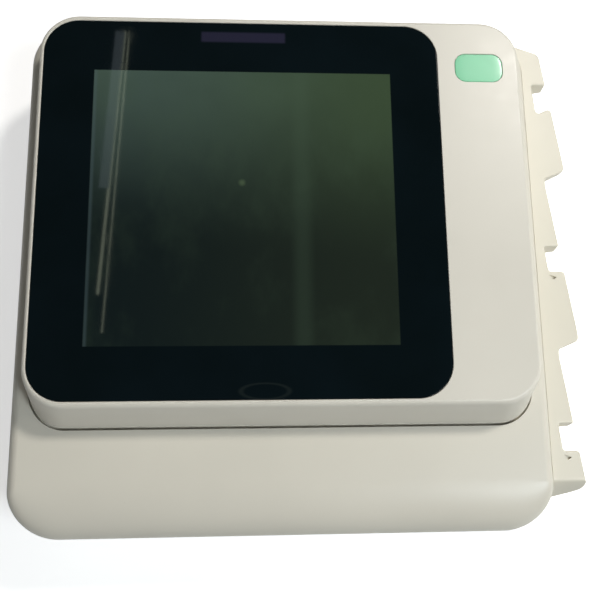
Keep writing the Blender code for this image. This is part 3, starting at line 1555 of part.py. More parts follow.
def make_paper_pack(pivot):
    front = paper_front + PAPER_ROOM
    bottom = tray_bottom + TRAY_FLOOR + GAP
    low = (case_x - PAPER_WIDTH / 2, front, bottom)
    high = (case_x + PAPER_WIDTH / 2, front + PAPER_DEPTH, bottom + PAPER_HEIGHT)
    mesh = bmesh.new()
    add_box(mesh, low, high)
    make_piece("paper_pack", mesh, "paper", pivot)


def make_drawer_rails():
    rear = tray_rear()
    for side, name in ((-1, "left"), (1, "right")):
        inner = case_x + side * (TRAY_WIDTH / 2 + RAIL_PLAY)
        outer = inner + side * RAIL_SIDE
        ledge = inner - side * (RAIL_LEDGE + RAIL_PLAY)
        base = floor_top + GAP
        mesh = bmesh.new()
        low = (min(inner, outer), rear - RAIL_LENGTH, base)
        add_box(mesh, low, (max(inner, outer), rear, base + RAIL_HEIGHT))
        rail = make_piece("drawer_rail_" + name, mesh, "steel")
        fuse(rail, "ledge", lambda strip, ledge=ledge, outer=outer: add_box(
            strip,
            (min(ledge, outer), rear - RAIL_LENGTH, base),
            (max(ledge, outer), rear, base + RAIL_BASE),
        ))


# Platen roller, its gear and the motor's pinion

def make_roller_sleeve(pivot):
    mesh = bmesh.new()
    half = ROLLER_LENGTH / 2
    centre = (0, roller_y, ROLLER_HEIGHT)
    add_bar(mesh, centre, "X", case_x - half, case_x + half, ROLLER_RADIUS, sides=28)
    sleeve = make_piece("roller_sleeve", mesh, "rubber", pivot)
    cut(sleeve, "bore", lambda bore: add_bar(
        bore, centre, "X", case_x - half - OVERRUN, case_x + half + OVERRUN, SHAFT_RADIUS + GAP, sides=20))


def make_roller_shaft(pivot):
    mesh = bmesh.new()
    left = case_x - TRAY_WIDTH / 2 - SHAFT_END
    right = gear_left + GEAR_WIDTH + SHAFT_END / 2
    add_bar(mesh, (0, roller_y, ROLLER_HEIGHT), "X", left, right, SHAFT_RADIUS, sides=20)
    make_piece("roller_shaft", mesh, "steel", pivot)


# Straight-sided teeth in the Y-Z plane, the first tooth or gap at the given angle
def gear_ring(teeth, y, first_angle, x):
    pitch = GEAR_MODULE * teeth / 2
    flank_shares = ((-1.25, -0.31), (0.9, -0.13), (0.9, 0.13), (-1.25, 0.31))
    step = 2 * math.pi / teeth
    ring = []
    for tooth in range(teeth):
        middle = first_angle + tooth * step
        for height_share, turn_share in flank_shares:
            radius = pitch + height_share * GEAR_MODULE
            angle = middle + turn_share * step
            ring.append((x, y + radius * math.cos(angle), ROLLER_HEIGHT + radius * math.sin(angle)))
    return ring


def make_roller_gear(pivot):
    mesh = bmesh.new()
    ends = (gear_left, gear_left + GEAR_WIDTH)
    add_loft(mesh, [gear_ring(GEAR_TEETH, roller_y, 0, x) for x in ends])
    gear = make_piece("roller_gear", mesh, "white_gear", pivot)
    centre = (0, roller_y, ROLLER_HEIGHT)
    cut(gear, "bore", lambda bore: add_bar(
        bore, centre, "X", ends[0] - OVERRUN, ends[1] + OVERRUN, SHAFT_RADIUS + GAP, sides=20))


def make_motor_pinion(pivot):
    first_gap = math.pi + math.pi / PINION_TEETH
    mesh = bmesh.new()
    ends = (gear_left, gear_left + GEAR_WIDTH)
    add_loft(mesh, [gear_ring(PINION_TEETH, pinion_y, first_gap, x) for x in ends])
    pinion = make_piece("motor_pinion", mesh, "brass", pivot)
    centre = (0, pinion_y, ROLLER_HEIGHT)
    end = motor_left() + MOTOR_BORE - GAP
    fuse(pinion, "shaft", lambda shaft: add_bar(
        shaft, centre, "X", ends[0] + GEAR_WIDTH / 2, end, PINION_SHAFT, sides=16))


# Recorder frame, head and motor

def frame_inner():
    return DRAWER_WIDTH / 2 - FRAME_PLATE


def frame_top():
    return ROLLER_HEIGHT + ROLLER_RADIUS + 2 * GAP + HEAD_HEIGHT


def motor_left():
    return case_x + frame_inner() + FRAME_PLATE + GAP


def make_recorder_frame():
    front = case_front + FRAME_FRONT_INSET
    rear = front + FRAME_DEPTH
    half = frame_inner() + FRAME_PLATE
    mesh = bmesh.new()
    add_box(mesh, (case_x - half, front, floor_top + GAP), (case_x + half, rear, frame_top() + FRAME_PLATE))
    frame = make_piece("recorder_frame", mesh, "steel")
    inner = frame_inner()
    low = (case_x - inner, front - OVERRUN, CASE_BOTTOM)
    high = (case_x + inner, rear + OVERRUN, frame_top())
    cut(frame, "span", lambda room: add_box(room, low, high))
    centre = (0, pinion_y, ROLLER_HEIGHT)
    radius = PINION_SHAFT + 2 * GAP
    cut(frame, "shaft_hole", lambda hole: add_bar(
        hole, centre, "X", case_x + inner - OVERRUN, case_x + half + OVERRUN, radius, sides=16))


def make_print_head():
    front = case_front + HEAD_FRONT_INSET
    bottom = ROLLER_HEIGHT + ROLLER_RADIUS + GAP
    half = HEAD_WIDTH / 2
    mesh = bmesh.new()
    add_box(mesh, (case_x - half, front, bottom), (case_x + half, front + HEAD_DEPTH, bottom + HEAD_BAR))
    head = make_piece("print_head", mesh, "aluminium")
    low = (case_x - half, front + HEAD_BAR, bottom + HEAD_BAR / 2)
    high = (case_x + half, front + HEAD_DEPTH - HEAD_BAR, frame_top() - GAP)
    fuse(head, "sink", lambda sink: add_box(sink, low, high))


def make_feed_motor():
    centre = (0, pinion_y, ROLLER_HEIGHT)
    left = motor_left()
    mesh = bmesh.new()
    add_bar(mesh, centre, "X", left, left + MOTOR_LENGTH, MOTOR_RADIUS)
    motor = make_piece("feed_motor", mesh, "steel")
    radius = PINION_SHAFT + GAP
    cut(motor, "bore", lambda bore: add_bar(
        bore, centre, "X", left - OVERRUN, left + MOTOR_BORE, radius, sides=16))


# Buttons in the front wall

def make_power_button(pivot):
    x = case_x + POWER_SHIFT
    front = case_front + BUTTON_SINK
    flange = case_front + CASE_WALL + GAP
    centre = (x, 0, BUTTON_HEIGHT)
    mesh = bmesh.new()
    add_bar(mesh, centre, "Y", front, front + BUTTON_LENGTH, POWER_RADIUS, sides=24)
    button = make_piece("power_button", mesh, "grey_plastic", pivot)
    fuse(button, "flange", lambda ring: add_bar(
        ring, centre, "Y", flange, flange + BUTTON_FLANGE, POWER_RADIUS + BUTTON_LIP, sides=24))


def make_drawer_button(pivot):
    x = case_x + RELEASE_SHIFT
    front = case_front + BUTTON_SINK
    flange = case_front + CASE_WALL + GAP
    half_width = RELEASE_WIDTH / 2
    half_height = RELEASE_HEIGHT / 2
    mesh = bmesh.new()
    low = (x - half_width, front, BUTTON_HEIGHT - half_height)
    add_box(mesh, low, (x + half_width, front + BUTTON_LENGTH, BUTTON_HEIGHT + half_height))
    button = make_piece("drawer_button", mesh, "grey_plastic", pivot)
    low = (x - half_width - BUTTON_LIP, flange, BUTTON_HEIGHT - half_height - BUTTON_LIP)
    high = (x + half_width + BUTTON_LIP, flange + BUTTON_FLANGE, BUTTON_HEIGHT + half_height + BUTTON_LIP)
    fuse(button, "flange", lambda ring: add_box(ring, low, high))


def build_case():
    make_lower_case()
    make_upper_case()
    make_feet()
    make_case_screws()
    make_rack()
    make_rack_screws()
    make_sockets()
    make_mains_inlet()
    make_network_port()
    make_usb_port()
    make_earth_post()
    make_battery()
    make_battery_cover()
    make_cover_screw()
    make_main_board()
    make_power_supply()
    make_speaker()
    make_hinge_brackets()
    make_hinge_pins()


def build_lid():
    pivot = make_pivot("screen_axis", (lid_x, hinge_y, hinge_z))
    make_screen_housing(pivot)
    make_screen_back(pivot)
    make_lid_screws(pivot)
    make_bumpers(pivot)
    make_touch_glass(pivot)
    make_lcd_panel(pivot)
    make_display_board(pivot)
    make_alarm_light(pivot)
    make_badge(pivot)
    make_hinge_leaves(pivot)


def build_recorder():
    drawer = make_pivot("drawer_axis", (case_x, case_front, DRAWER_SILL))
    make_drawer_front(drawer)
    make_paper_tray(drawer)
    make_paper_pack(drawer)
    make_drawer_rails()
    roller = make_pivot("roller_axis", (case_x, roller_y, ROLLER_HEIGHT))
    make_roller_sleeve(roller)
    make_roller_shaft(roller)
    make_roller_gear(roller)
    make_motor_pinion(make_pivot("pinion_axis", (gear_left, pinion_y, ROLLER_HEIGHT)))
    make_recorder_frame()
    make_print_head()
    make_feed_motor()


def build_buttons():
    make_power_button(make_pivot("power_axis", (case_x + POWER_SHIFT, case_front, BUTTON_HEIGHT)))
    make_drawer_button(make_pivot("release_axis", (case_x + RELEASE_SHIFT, case_front, BUTTON_HEIGHT)))


clear_scene()
build_case()
build_lid()
build_recorder()
build_buttons()
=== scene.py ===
import math

import bmesh
import bpy
from mathutils import Euler, Matrix, Vector


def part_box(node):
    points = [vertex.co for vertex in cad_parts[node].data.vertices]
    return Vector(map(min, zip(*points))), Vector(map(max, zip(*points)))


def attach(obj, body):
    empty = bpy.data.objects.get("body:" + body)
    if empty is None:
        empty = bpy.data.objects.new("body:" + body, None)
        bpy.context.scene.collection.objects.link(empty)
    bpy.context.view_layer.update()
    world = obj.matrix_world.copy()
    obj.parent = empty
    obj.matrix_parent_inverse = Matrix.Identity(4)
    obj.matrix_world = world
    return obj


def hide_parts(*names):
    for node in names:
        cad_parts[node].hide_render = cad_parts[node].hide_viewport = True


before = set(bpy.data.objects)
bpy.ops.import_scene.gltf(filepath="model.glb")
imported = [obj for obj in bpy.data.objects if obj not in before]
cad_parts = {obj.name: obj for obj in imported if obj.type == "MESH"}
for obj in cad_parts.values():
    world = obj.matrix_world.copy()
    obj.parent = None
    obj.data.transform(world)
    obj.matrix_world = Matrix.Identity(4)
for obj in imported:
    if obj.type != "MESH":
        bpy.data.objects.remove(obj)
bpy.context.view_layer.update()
print("Frame loaded:", len(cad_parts), "nodes")

# Shapes below are written in millimetres and scaled when a piece is made
mm = 0.001


def nodeBox(name):
    low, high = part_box(name)
    return Vector(low) / mm, Vector(high) / mm


def middleOf(name):
    low, high = nodeBox(name)
    return (low + high) / 2


def numbered(name, count=4):
    return [name + "_" + str(i + 1) for i in range(count)]


# Materials

# A node's output; arithmetic on it adds Math nodes to its tree
class Wire:
    def __init__(self, paint, socket):
        self.paint = paint
        self.socket = socket

    def __abs__(self):
        return self.paint.math("ABSOLUTE", self)


# Gives Wire an operator and its reflected form
def addOperator(name, operation):
    setattr(Wire, "__" + name + "__", lambda self, other: self.paint.math(operation, self, other))
    setattr(Wire, "__r" + name + "__", lambda self, other: self.paint.math(operation, other, self))


for name, operation in {"add": "ADD", "sub": "SUBTRACT", "mul": "MULTIPLY", "truediv": "DIVIDE"}.items():
    addOperator(name, operation)


# A material being made: node() adds any node, surface() wires the shader's inputs
class Paint:
    def __init__(self, name, **fixed):
        self.material = bpy.data.materials.new(name)
        self.material.use_nodes = True
        self.tree = self.material.node_tree
        self.shader = self.tree.nodes["Principled BSDF"]
        self.surface(**fixed)
        self.spots = None

    def feed(self, socket, value):
        if isinstance(value, Wire):
            self.tree.links.new(value.socket, socket)
        else:
            socket.default_value = value

    def node(self, kind, settings=None, values=None, output=0):
        made = self.tree.nodes.new("ShaderNode" + kind)
        for key, value in (settings or {}).items():
            setattr(made, key, value)
        for key, value in (values or {}).items():
            self.feed(made.inputs[key], value)
        return Wire(self, made.outputs[output])

    def math(self, operation, *values):
        return self.node("Math", {"operation": operation}, dict(enumerate(values)))

    def mix(self, factor, first, second):
        return self.node("Mix", {"data_type": "RGBA"}, {0: factor, 6: first, 7: second}, 2)

    # A tone with coats over it, each a factor and a colour
    def coats(self, tone, *coats):
        for factor, colour in coats:
            tone = self.mix(factor, tone, colour)
        return tone

    def reach(self, across, along):
        return self.math("SQRT", across * across + along * along)

    # From 0 to 1 and back, over and over
    def ripple(self, value, half):
        return self.math("PINGPONG", value, half) / half

    # 1 on faces that look up, -1 on those that look down
    def lift(self):
        return self.node("SeparateXYZ", values={0: self.node("NewGeometry", output="Normal")}, output=2)

    # The piece's own coordinates in millimetres, which move with it
    def place(self):
        if self.spots is None:
            spot = self.node("TexCoord", output="Object")
            self.spots = self.node("VectorMath", {"operation": "SCALE"}, {0: spot, "Scale": 1 / mm})
        return self.spots

    def axes(self):
        parts = self.node("SeparateXYZ", values={0: self.place()}).socket.node
        return [Wire(self, parts.outputs[i]) for i in range(3)]

    def noise(self, size, detail=2.0, roughness=0.5, stretch=(1, 1, 1), shift=(0, 0, 0)):
        spot = self.node("Mapping", values={"Vector": self.place(), "Location": shift, "Scale": stretch})
        return self.node("TexNoise", values={"Vector": spot, "Scale": 1 / size, "Detail": detail,
                                             "Roughness": roughness})

    # 0 below low and 1 above high, smooth between
    def step(self, value, low, high):
        return self.node("MapRange", {"interpolation_type": "SMOOTHSTEP"},
                         {"Value": value, "From Min": low, "From Max": high})

    # 1 between low and high with soft ends
    def band(self, value, low, high, soft):
        return self.step(value, low - soft, low + soft) * (1 - self.step(value, high - soft, high + soft))

    def bump(self, height, depth):
        return self.node("Bump", values={"Height": height, "Distance": depth * mm})

    def surface(self, **values):
        names = {"colour": "Base Color", "roughness": "Roughness", "metallic": "Metallic",
                 "normal": "Normal", "specular": "Specular IOR Level", "coat": "Coat Weight",
                 "coatRoughness": "Coat Roughness"}
        for key, value in values.items():
            self.feed(self.shader.inputs[names[key]], value)
        return self.material


# A colour as a screen shows it (0 to 255), in the linear values that shaders read
def rgb(red, green, blue):
    linear = []
    for value in (red, green, blue):
        share = value / 255
        linear.append(share / 12.92 if share <= 0.04045 else ((share + 0.055) / 1.055) ** 2.4)
    return (*linear, 1.0)


def shaded(colour, factor):
    return (*(min(1, part * factor) for part in colour[:3]), 1.0)


# Moulded plastic: a fine eroded grain, a slow drift of tone and faint handling marks
def mouldedPlastic(name, colour, roughness, drift=0.05):
    paint = Paint(name, specular=0.45)
    slow = paint.noise(60, 2)
    middle = paint.noise(7, 3, 0.6)
    grain = paint.noise(0.42, 2, 0.55)
    rubbed = paint.step(paint.noise(26, 4, 0.7, shift=(31, 7, 0)), 0.52, 0.72)
    tone = paint.mix(slow, shaded(colour, 1 - drift), shaded(colour, 1 + drift))
    tone = paint.coats(tone, (middle * 0.10, shaded(colour, 0.90)), (grain * 0.06, shaded(colour, 0.72)))
    rough = roughness + (middle - 0.5) * 0.10 - rubbed * 0.06
    return paint.surface(colour=tone, roughness=rough, normal=paint.bump(grain, 0.02))


def rubberPaint(name, colour):
    paint = Paint(name, specular=0.3)
    grain = paint.noise(0.5, 3, 0.6)
    dust = paint.step(paint.noise(6, 4, 0.65), 0.5, 0.75)
    tone = paint.mix(dust * 0.35, colour, rgb(92, 90, 86))
    return paint.surface(colour=tone, roughness=0.72 + grain * 0.2, normal=paint.bump(grain, 0.05))


# Turned or rolled metal: fine lines along one axis, a drift in the polish
def metalPaint(name, colour, roughness, stretch=(1, 22, 22)):
    paint = Paint(name, metallic=1.0)
    lines = paint.noise(3.2, 3, 0.6, stretch)
    patches = paint.noise(9, 3, 0.6)
    tone = paint.coats(paint.mix(patches, shaded(colour, 0.88), shaded(colour, 1.06)),
                       (lines * 0.18, shaded(colour, 0.62)))
    rough = roughness + (lines - 0.5) * 0.22 + (patches - 0.5) * 0.12
    return paint.surface(colour=tone, roughness=rough, normal=paint.bump(lines, 0.012))


coverSizes = {
    "displayCentre": (-38.45, 32.3),
    "displayHalf": (96.3, 90.2),
    "lightHalf": (27.5, 3.5),
    "keyCentre": (-25.3, -85.5),
    "keyHalf": (16.0, 5.2),
    "edge": 0.35,
    "lip": 2.0,
    "reflectedBand": (32, 42),
    "glint": (-1, 14),
    "glintReach": (0.3, 3.2),
}


# The cover glass: black border, unlit display with painted reflections, window of the light bar and a faint
# touch key
def coverPaint():
    sizes = coverSizes
    paint = Paint("coverGlass", specular=0.16)
    x, y = paint.axes()[:2]
    across = x - sizes["displayCentre"][0]
    along = y - sizes["displayCentre"][1]
    (halfX, halfY), edge = sizes["displayHalf"], sizes["edge"]
    display = paint.band(across, -halfX, halfX, edge) * paint.band(along, -halfY, halfY, edge)
    cloud = paint.noise(70, 3, 0.55)
    reflectedWisps = paint.noise(34, 4, 0.62, (1.0, 0.55, 1.0), (12, 40, 0))
    # Painted reflection: the unlit panel is painted lighter and greener at its rear, bluer at its left
    reflectionRise = paint.step(along + across * 0.12, -35, 105) * (0.7 + cloud * 0.6)
    side = paint.step(across, -halfX, halfX)
    panel = paint.mix(reflectionRise, paint.mix(side, rgb(18, 28, 29), rgb(33, 41, 33)),
                      paint.mix(side, rgb(74, 92, 84), rgb(62, 79, 57)))
    glint = paint.reach(across - sizes["glint"][0], along - sizes["glint"][1])
    # Painted reflections on the panel: lighter wisps, a pale band and a small glint. The last coat is a soft
    # lighter bluish strip along the display's left edge
    panel = paint.coats(panel, (paint.step(reflectedWisps, 0.45, 0.75) * (0.12 + reflectionRise * 0.2), rgb(66, 84, 66)),
                        (paint.band(across, *sizes["reflectedBand"], 4) * 0.14, rgb(78, 98, 80)),
                        ((1 - paint.step(glint, *sizes["glintReach"])) * 0.3, rgb(110, 132, 96)),
                        (paint.band(across, -halfX, -halfX + sizes["lip"], 1.0) * 0.25, rgb(86, 104, 110)))
    border = paint.mix(paint.noise(55, 3), rgb(3, 11, 12), rgb(10, 21, 26))
    tone = paint.mix(display, border, panel)
    middle = middleOf("alarm_light")
    halfX, halfY = sizes["lightHalf"]
    window = paint.band(x - middle.x, -halfX, halfX, 1.0) * paint.band(y - middle.y, -halfY, halfY, 1.0)
    tone = paint.mix(window * 0.85, tone, rgb(42, 41, 60))
    # Touch key: a flat ring, hardly lighter than the border
    keyX = (x - sizes["keyCentre"][0]) / sizes["keyHalf"][0]
    keyY = (y - sizes["keyCentre"][1]) / sizes["keyHalf"][1]
    reach = paint.reach(keyX, keyY)
    tone = paint.mix(paint.band(reach, 0.82, 1.0, 0.08) * 0.16, tone, rgb(58, 66, 62))
    smear = paint.step(paint.noise(14, 5, 0.7, (1, 0.4, 1), (5, 9, 0)), 0.5, 0.8)
    return paint.surface(colour=tone, roughness=0.03 + smear * 0.06)


def enamelPaint(name, colour):
    paint = Paint(name, specular=0.4, coat=0.25, coatRoughness=0.12)
    slow = paint.noise(16, 2)
    fine = paint.noise(0.7, 3)
    tone = paint.coats(paint.mix(slow, shaded(colour, 0.93), shaded(colour, 1.07)),
                       (fine * 0.08, shaded(colour, 0.7)))
    return paint.surface(colour=tone, roughness=0.30 + fine * 0.12, normal=paint.bump(fine, 0.008))


# Circuit board: solder mask over copper tracks on a square grid, with bare pads
def boardPaint():
    paint = Paint("boardGreen", specular=0.4)
    grid = paint.node("CombineXYZ", values=dict(enumerate(paint.axes()[:2])))
    cells = paint.node("TexVoronoi", {"distance": "CHEBYCHEV"},
                       {"Vector": grid, "Scale": 1 / 5.2, "Randomness": 0.75})
    tracks = paint.node("TexBrick", {"offset": 0.5}, {"Vector": grid, "Scale": 0.42, "Mortar Size": 0.06,
                                                      "Mortar Smooth": 0.2, "Brick Width": 3.4,
                                                      "Row Height": 0.8}, "Fac")
    copper = tracks * paint.step(paint.noise(22, 1), 0.42, 0.50)
    pads = 1 - paint.step(cells, 0.10, 0.14)
    tone = paint.coats(paint.mix(paint.noise(30, 2), rgb(18, 78, 48), rgb(26, 98, 58)),
                       (copper * 0.7, rgb(58, 140, 84)), (pads, rgb(196, 190, 170)))
    raised = copper * 0.5 + pads
    return paint.surface(colour=tone, roughness=0.42 - pads * 0.15, metallic=pads * 0.9,
                         normal=paint.bump(raised, 0.06))


paperSizes = {"square": 5, "chart": (-74.5, 49.5), "leaf": 0.28}


# Fan-fold chart paper: sheet edges on the sides, a pale chart grid on top
def paperPaint():
    sizes = paperSizes
    paint = Paint("chartPaper", specular=0.2)
    x, y, z = paint.axes()
    top = paint.step(abs(paint.lift()), 0.6, 0.8)
    lines, rows = (1 - paint.step(paint.ripple(run, sizes["square"]), 0.03, 0.09) for run in (x, y))
    grid = paint.math("MAXIMUM", lines, rows)
    strip = paint.band(x, *sizes["chart"], 0.4)
    fibre = paint.noise(0.6, 3, 0.7)
    tone = paint.mix(fibre, rgb(226, 223, 213), rgb(238, 236, 228))
    tone = paint.mix(top * strip * grid * 0.8, tone, rgb(226, 150, 138))
    leaves = paint.ripple(z + paint.noise(9, 2) * 0.4, sizes["leaf"])
    tone = paint.mix((1 - top) * paint.step(leaves, 0.45, 0.9) * 0.5, tone, rgb(178, 172, 158))
    return paint.surface(colour=tone, roughness=0.82 - top * strip * 0.2,
                         normal=paint.bump(fibre * 0.2 + leaves * (1 - top), 0.06))


def guidePaint():
    paint = Paint("lightGuide", specular=0.4)
    ribs = paint.ripple(paint.axes()[0], 0.6)
    cloud = paint.noise(5, 3)
    tone = paint.mix(cloud, rgb(150, 146, 158), rgb(176, 172, 180))
    return paint.surface(colour=tone, roughness=0.35 + cloud * 0.1, normal=paint.bump(ribs, 0.08))


packSizes = {"firstCell": 25, "cellRadius": 9.1, "seam": -97.5, "seamHalf": 1.2}


# Shrink-wrapped pack: welded film with a seam, wrinkles and cell ridges
def packPaint():
    sizes = packSizes
    paint = Paint("packWrap", specular=0.5, coat=0.3, coatRoughness=0.2)
    x, y = paint.axes()[:2]
    cells = paint.ripple(y - sizes["firstCell"], sizes["cellRadius"])
    wrinkles = paint.noise(6, 5, 0.65, (1, 3, 1))
    tone = paint.mix(wrinkles, rgb(36, 66, 112), rgb(52, 86, 138))
    seam = paint.band(x - sizes["seam"], -sizes["seamHalf"], sizes["seamHalf"], 0.3)
    tone = paint.mix(seam * 0.6, tone, rgb(22, 40, 74))
    return paint.surface(colour=tone, roughness=0.34 + wrinkles * 0.15,
                         normal=paint.bump(cells * 0.8 + wrinkles * 0.5, 0.5))


sheetSizes = {"halfPitch": 2.5, "holeEdge": (0.75, 0.9), "spangle": 7.0}


# Perforated cover of the supply: rows of punched holes in zinc-coated sheet, painted near-black as painted
# shade of the inside
def supplyPaint():
    sizes = sheetSizes
    paint = Paint("supplySheet", specular=0.5)
    half = sizes["halfPitch"]
    holeX, holeY = (paint.math("PINGPONG", run, half) - half / 2 for run in paint.axes()[:2])
    hole = 1 - paint.step(paint.reach(holeX, holeY), *sizes["holeEdge"])
    hole = hole * paint.step(paint.lift(), 0.6, 0.8)
    spangle = paint.node("TexVoronoi", values={"Vector": paint.place(), "Scale": 1 / sizes["spangle"]},
                         output="Color")
    grey = paint.node("SeparateColor", values={0: spangle})
    tone = paint.mix(grey, rgb(150, 154, 158), rgb(186, 190, 194))
    # Painted shade: the holes are painted near-black where the dark inside would show
    tone = paint.mix(hole, tone, rgb(14, 14, 16))
    return paint.surface(colour=tone, roughness=0.34 + grey * 0.14 + hole * 0.3,
                         metallic=1 - hole, normal=paint.bump(1 - hole, 0.3))


markSizes = {"ring": (2.3, 2.9), "gapHalf": 1.0, "barHalf": 0.3, "bar": (0.9, 3.6)}


# The power key's usual mark: a ring, open at its top round a short bar
def keyPaint():
    sizes = markSizes
    paint = Paint("powerKey", specular=0.4)
    middle = middleOf("power_button")
    x, z = paint.axes()[::2]
    across = x - middle.x
    up = z - middle.z
    gap = paint.step(up, 1.0, 1.2) * paint.band(across, -sizes["gapHalf"], sizes["gapHalf"], 0.1)
    ring = paint.band(paint.reach(across, up), *sizes["ring"], 0.08) * (1 - gap)
    bar = paint.band(across, -sizes["barHalf"], sizes["barHalf"], 0.08) * paint.band(up, *sizes["bar"], 0.1)
    fine = paint.noise(0.5, 2)
    tone = paint.mix(fine * 0.2, rgb(206, 203, 192), rgb(186, 184, 174))
    tone = paint.mix(paint.math("MAXIMUM", ring, bar), tone, rgb(58, 92, 78))
    return paint.surface(colour=tone, roughness=0.38 + fine * 0.1, normal=paint.bump(fine, 0.015))


# Each finish with the frame's slot that it usually takes; pieces that stay keep their own slot
paints = {
    "ivory": (mouldedPlastic("ivoryShell", rgb(222, 217, 204), 0.35), "ivory_plastic"),
    "ivoryLid": (mouldedPlastic("ivoryLid", rgb(225, 220, 208), 0.36), "ivory_plastic"),
    "rack": (mouldedPlastic("rackShell", rgb(228, 222, 206), 0.44), "rack_plastic"),
    "grey": (mouldedPlastic("greyMoulding", rgb(150, 152, 152), 0.5), "grey_plastic"),
    "black": (mouldedPlastic("blackMoulding", rgb(36, 36, 38), 0.42, 0.12), "black_plastic"),
    "gear": (mouldedPlastic("gearNylon", rgb(232, 230, 222), 0.38), "white_gear"),
    "panel": (mouldedPlastic("panelFrame", rgb(44, 52, 48), 0.3, 0.1), ""),
    "cover": (coverPaint(), "dark_glass"),
    "badge": (enamelPaint("greenPlate", rgb(134, 215, 170)), "green_plastic"),
    "rubber": (rubberPaint("blackRubber", rgb(44, 44, 46)), "rubber"),
    "steel": (metalPaint("brightSteel", rgb(190, 192, 194), 0.28), "steel"),
    "aluminium": (metalPaint("rolledAluminium", rgb(206, 208, 210), 0.34, (22, 1, 22)), "aluminium"),
    "brass": (metalPaint("turnedBrass", rgb(206, 176, 108), 0.26, (22, 1, 22)), "brass"),
    "board": (boardPaint(), ""),
    "paper": (paperPaint(), ""),
    "guide": (guidePaint(), ""),
    "pack": (packPaint(), ""),
    "supply": (supplyPaint(), ""),
    "key": (keyPaint(), "grey_plastic"),
}
print("Materials made:", len(paints))


# Mesh helpers, all in millimetres

# A skin through rings of equal length, closed by a flat cap at each end or, as a hoop, on itself
def loft(mesh, rings, hoop=False):
    rows = [[mesh.verts.new(point) for point in ring] for ring in rings]
    count = len(rows[0])
    for lower, upper in zip(rows, rows[1:] + rows[:1] if hoop else rows[1:]):
        for i in range(count):
            j = (i + 1) % count
            mesh.faces.new((lower[i], lower[j], upper[j], upper[i]))
    if not hoop:
        mesh.faces.new(list(reversed(rows[0])))
        mesh.faces.new(rows[-1])


def block(mesh, low, high):
    low, high = Vector(low), Vector(high)
    place = Matrix.Translation((low + high) / 2) @ Matrix.Diagonal((*(high - low), 1))
    bmesh.ops.create_cube(mesh, size=1, matrix=place)


# A turned shape: (radius, place along the axis) from one end to the other
def turned(mesh, centre, axis, stations, sides=48, shift=0.5, hoop=False):
    along = "XYZ".index(axis)
    right, up = (along + 1) % 3, (along + 2) % 3
    rings = []
    for radius, place in stations:
        ring = []
        for i in range(sides):
            angle = math.tau * (i + shift) / sides
            point = Vector(centre)
            point[along] = place
            point[right] += radius * math.cos(angle)
            point[up] += radius * math.sin(angle)
            ring.append(point)
        rings.append(ring)
    loft(mesh, rings, hoop)


# Points and outward directions round a rectangle with round corners
def roundedColumns(left, right, front, rear, radius, steps=18):
    corners = ((right - radius, front + radius, -90), (right - radius, rear - radius, 0),
               (left + radius, rear - radius, 90), (left + radius, front + radius, 180))
    columns = []
    for x, y, first in corners:
        for i in range(steps + 1):
            angle = math.radians(first + 90 * i / steps)
            columns.append((x + radius * math.cos(angle), y + radius * math.sin(angle),
                            math.cos(angle), math.sin(angle)))
    return columns


def centredColumns(x, y, halves, radius, steps):
    return roundedColumns(x - halves[0], x + halves[0], y - halves[1], y + halves[1], radius, steps)


def boxColumns(low, high, radius, steps, grow=0):
    return roundedColumns(low.x - grow, high.x + grow, low.y - grow, high.y + grow, radius, steps)


def levelRing(columns, height, inset=0):
    return [(x - inset * across, y - inset * along, height) for x, y, across, along in columns]


def prism(mesh, columns, low, high):
    loft(mesh, [levelRing(columns, height) for height in (low, high)])


# A prism that lies along y, its columns given in x and z
def lyingPrism(mesh, columns, near, far):
    loft(mesh, [[(x, y, z) for x, z, across, along in columns] for y in (near, far)])


# (lean, drop) of a quarter round, from upright to flat
def quarter(steps):
    for i in range(steps + 1):
        angle = math.pi / 2 * i / steps
        yield 1 - math.cos(angle), 1 - math.sin(angle)


# An outline's points with the directions in which it grows evenly
def outlineColumns(points):
    columns = []
    for i, here in enumerate(points):
        before = Vector(here) - Vector(points[i - 1])
        after = Vector(points[(i + 1) % len(points)]) - Vector(here)
        first = Vector((before.y, -before.x)).normalized()
        second = Vector((after.y, -after.x)).normalized()
        push = first + second
        push *= 2 / max(push.length_squared, 0.6)
        columns.append((here[0], here[1], push.x, push.y))
    return columns


# A polygon whose corners are (x, y, radius), each turned into an arc
def softPolygon(corners, steps=8):
    outline = []
    for i, (x, y, radius) in enumerate(corners):
        here = Vector((x, y))
        before = Vector(corners[i - 1][:2]) - here
        after = Vector(corners[(i + 1) % len(corners)][:2]) - here
        if radius == 0:
            outline.append((x, y))
            continue
        half = before.angle(after) / 2
        reach = min(radius / math.tan(half), before.length / 2.02, after.length / 2.02)
        before.normalize()
        after.normalize()
        centre = here + (before + after).normalized() * reach / math.cos(half)
        start = here + before * reach - centre
        end = here + after * reach - centre
        sweep = start.angle(end)
        for step in range(steps + 1):
            share = step / steps
            point = start * math.sin(sweep * (1 - share)) + end * math.sin(sweep * share)
            outline.append(tuple(centre + point / math.sin(sweep)))
    return outline


def newObject(name, data):
    made = bpy.data.objects.new(name, data)
    bpy.context.collection.objects.link(made)
    return made


# A new object from what build(mesh, ...) draws
def drawn(name, build, *values):
    mesh = bmesh.new()
    build(mesh, *values)
    bmesh.ops.recalc_face_normals(mesh, faces=mesh.faces)
    bmesh.ops.scale(mesh, vec=(mm, mm, mm), verts=mesh.verts)
    data = bpy.data.meshes.new(name)
    mesh.to_mesh(data)
    mesh.free()
    return newObject(name, data)


# Applies one modifier at once
def applyStep(piece, kind, **settings):
    step = piece.modifiers.new("step", kind)
    for key, value in settings.items():
        setattr(step, key, value)
    graph = bpy.context.evaluated_depsgraph_get()
    data = bpy.data.meshes.new_from_object(piece.evaluated_get(graph))
    piece.modifiers.clear()
    piece.data = data


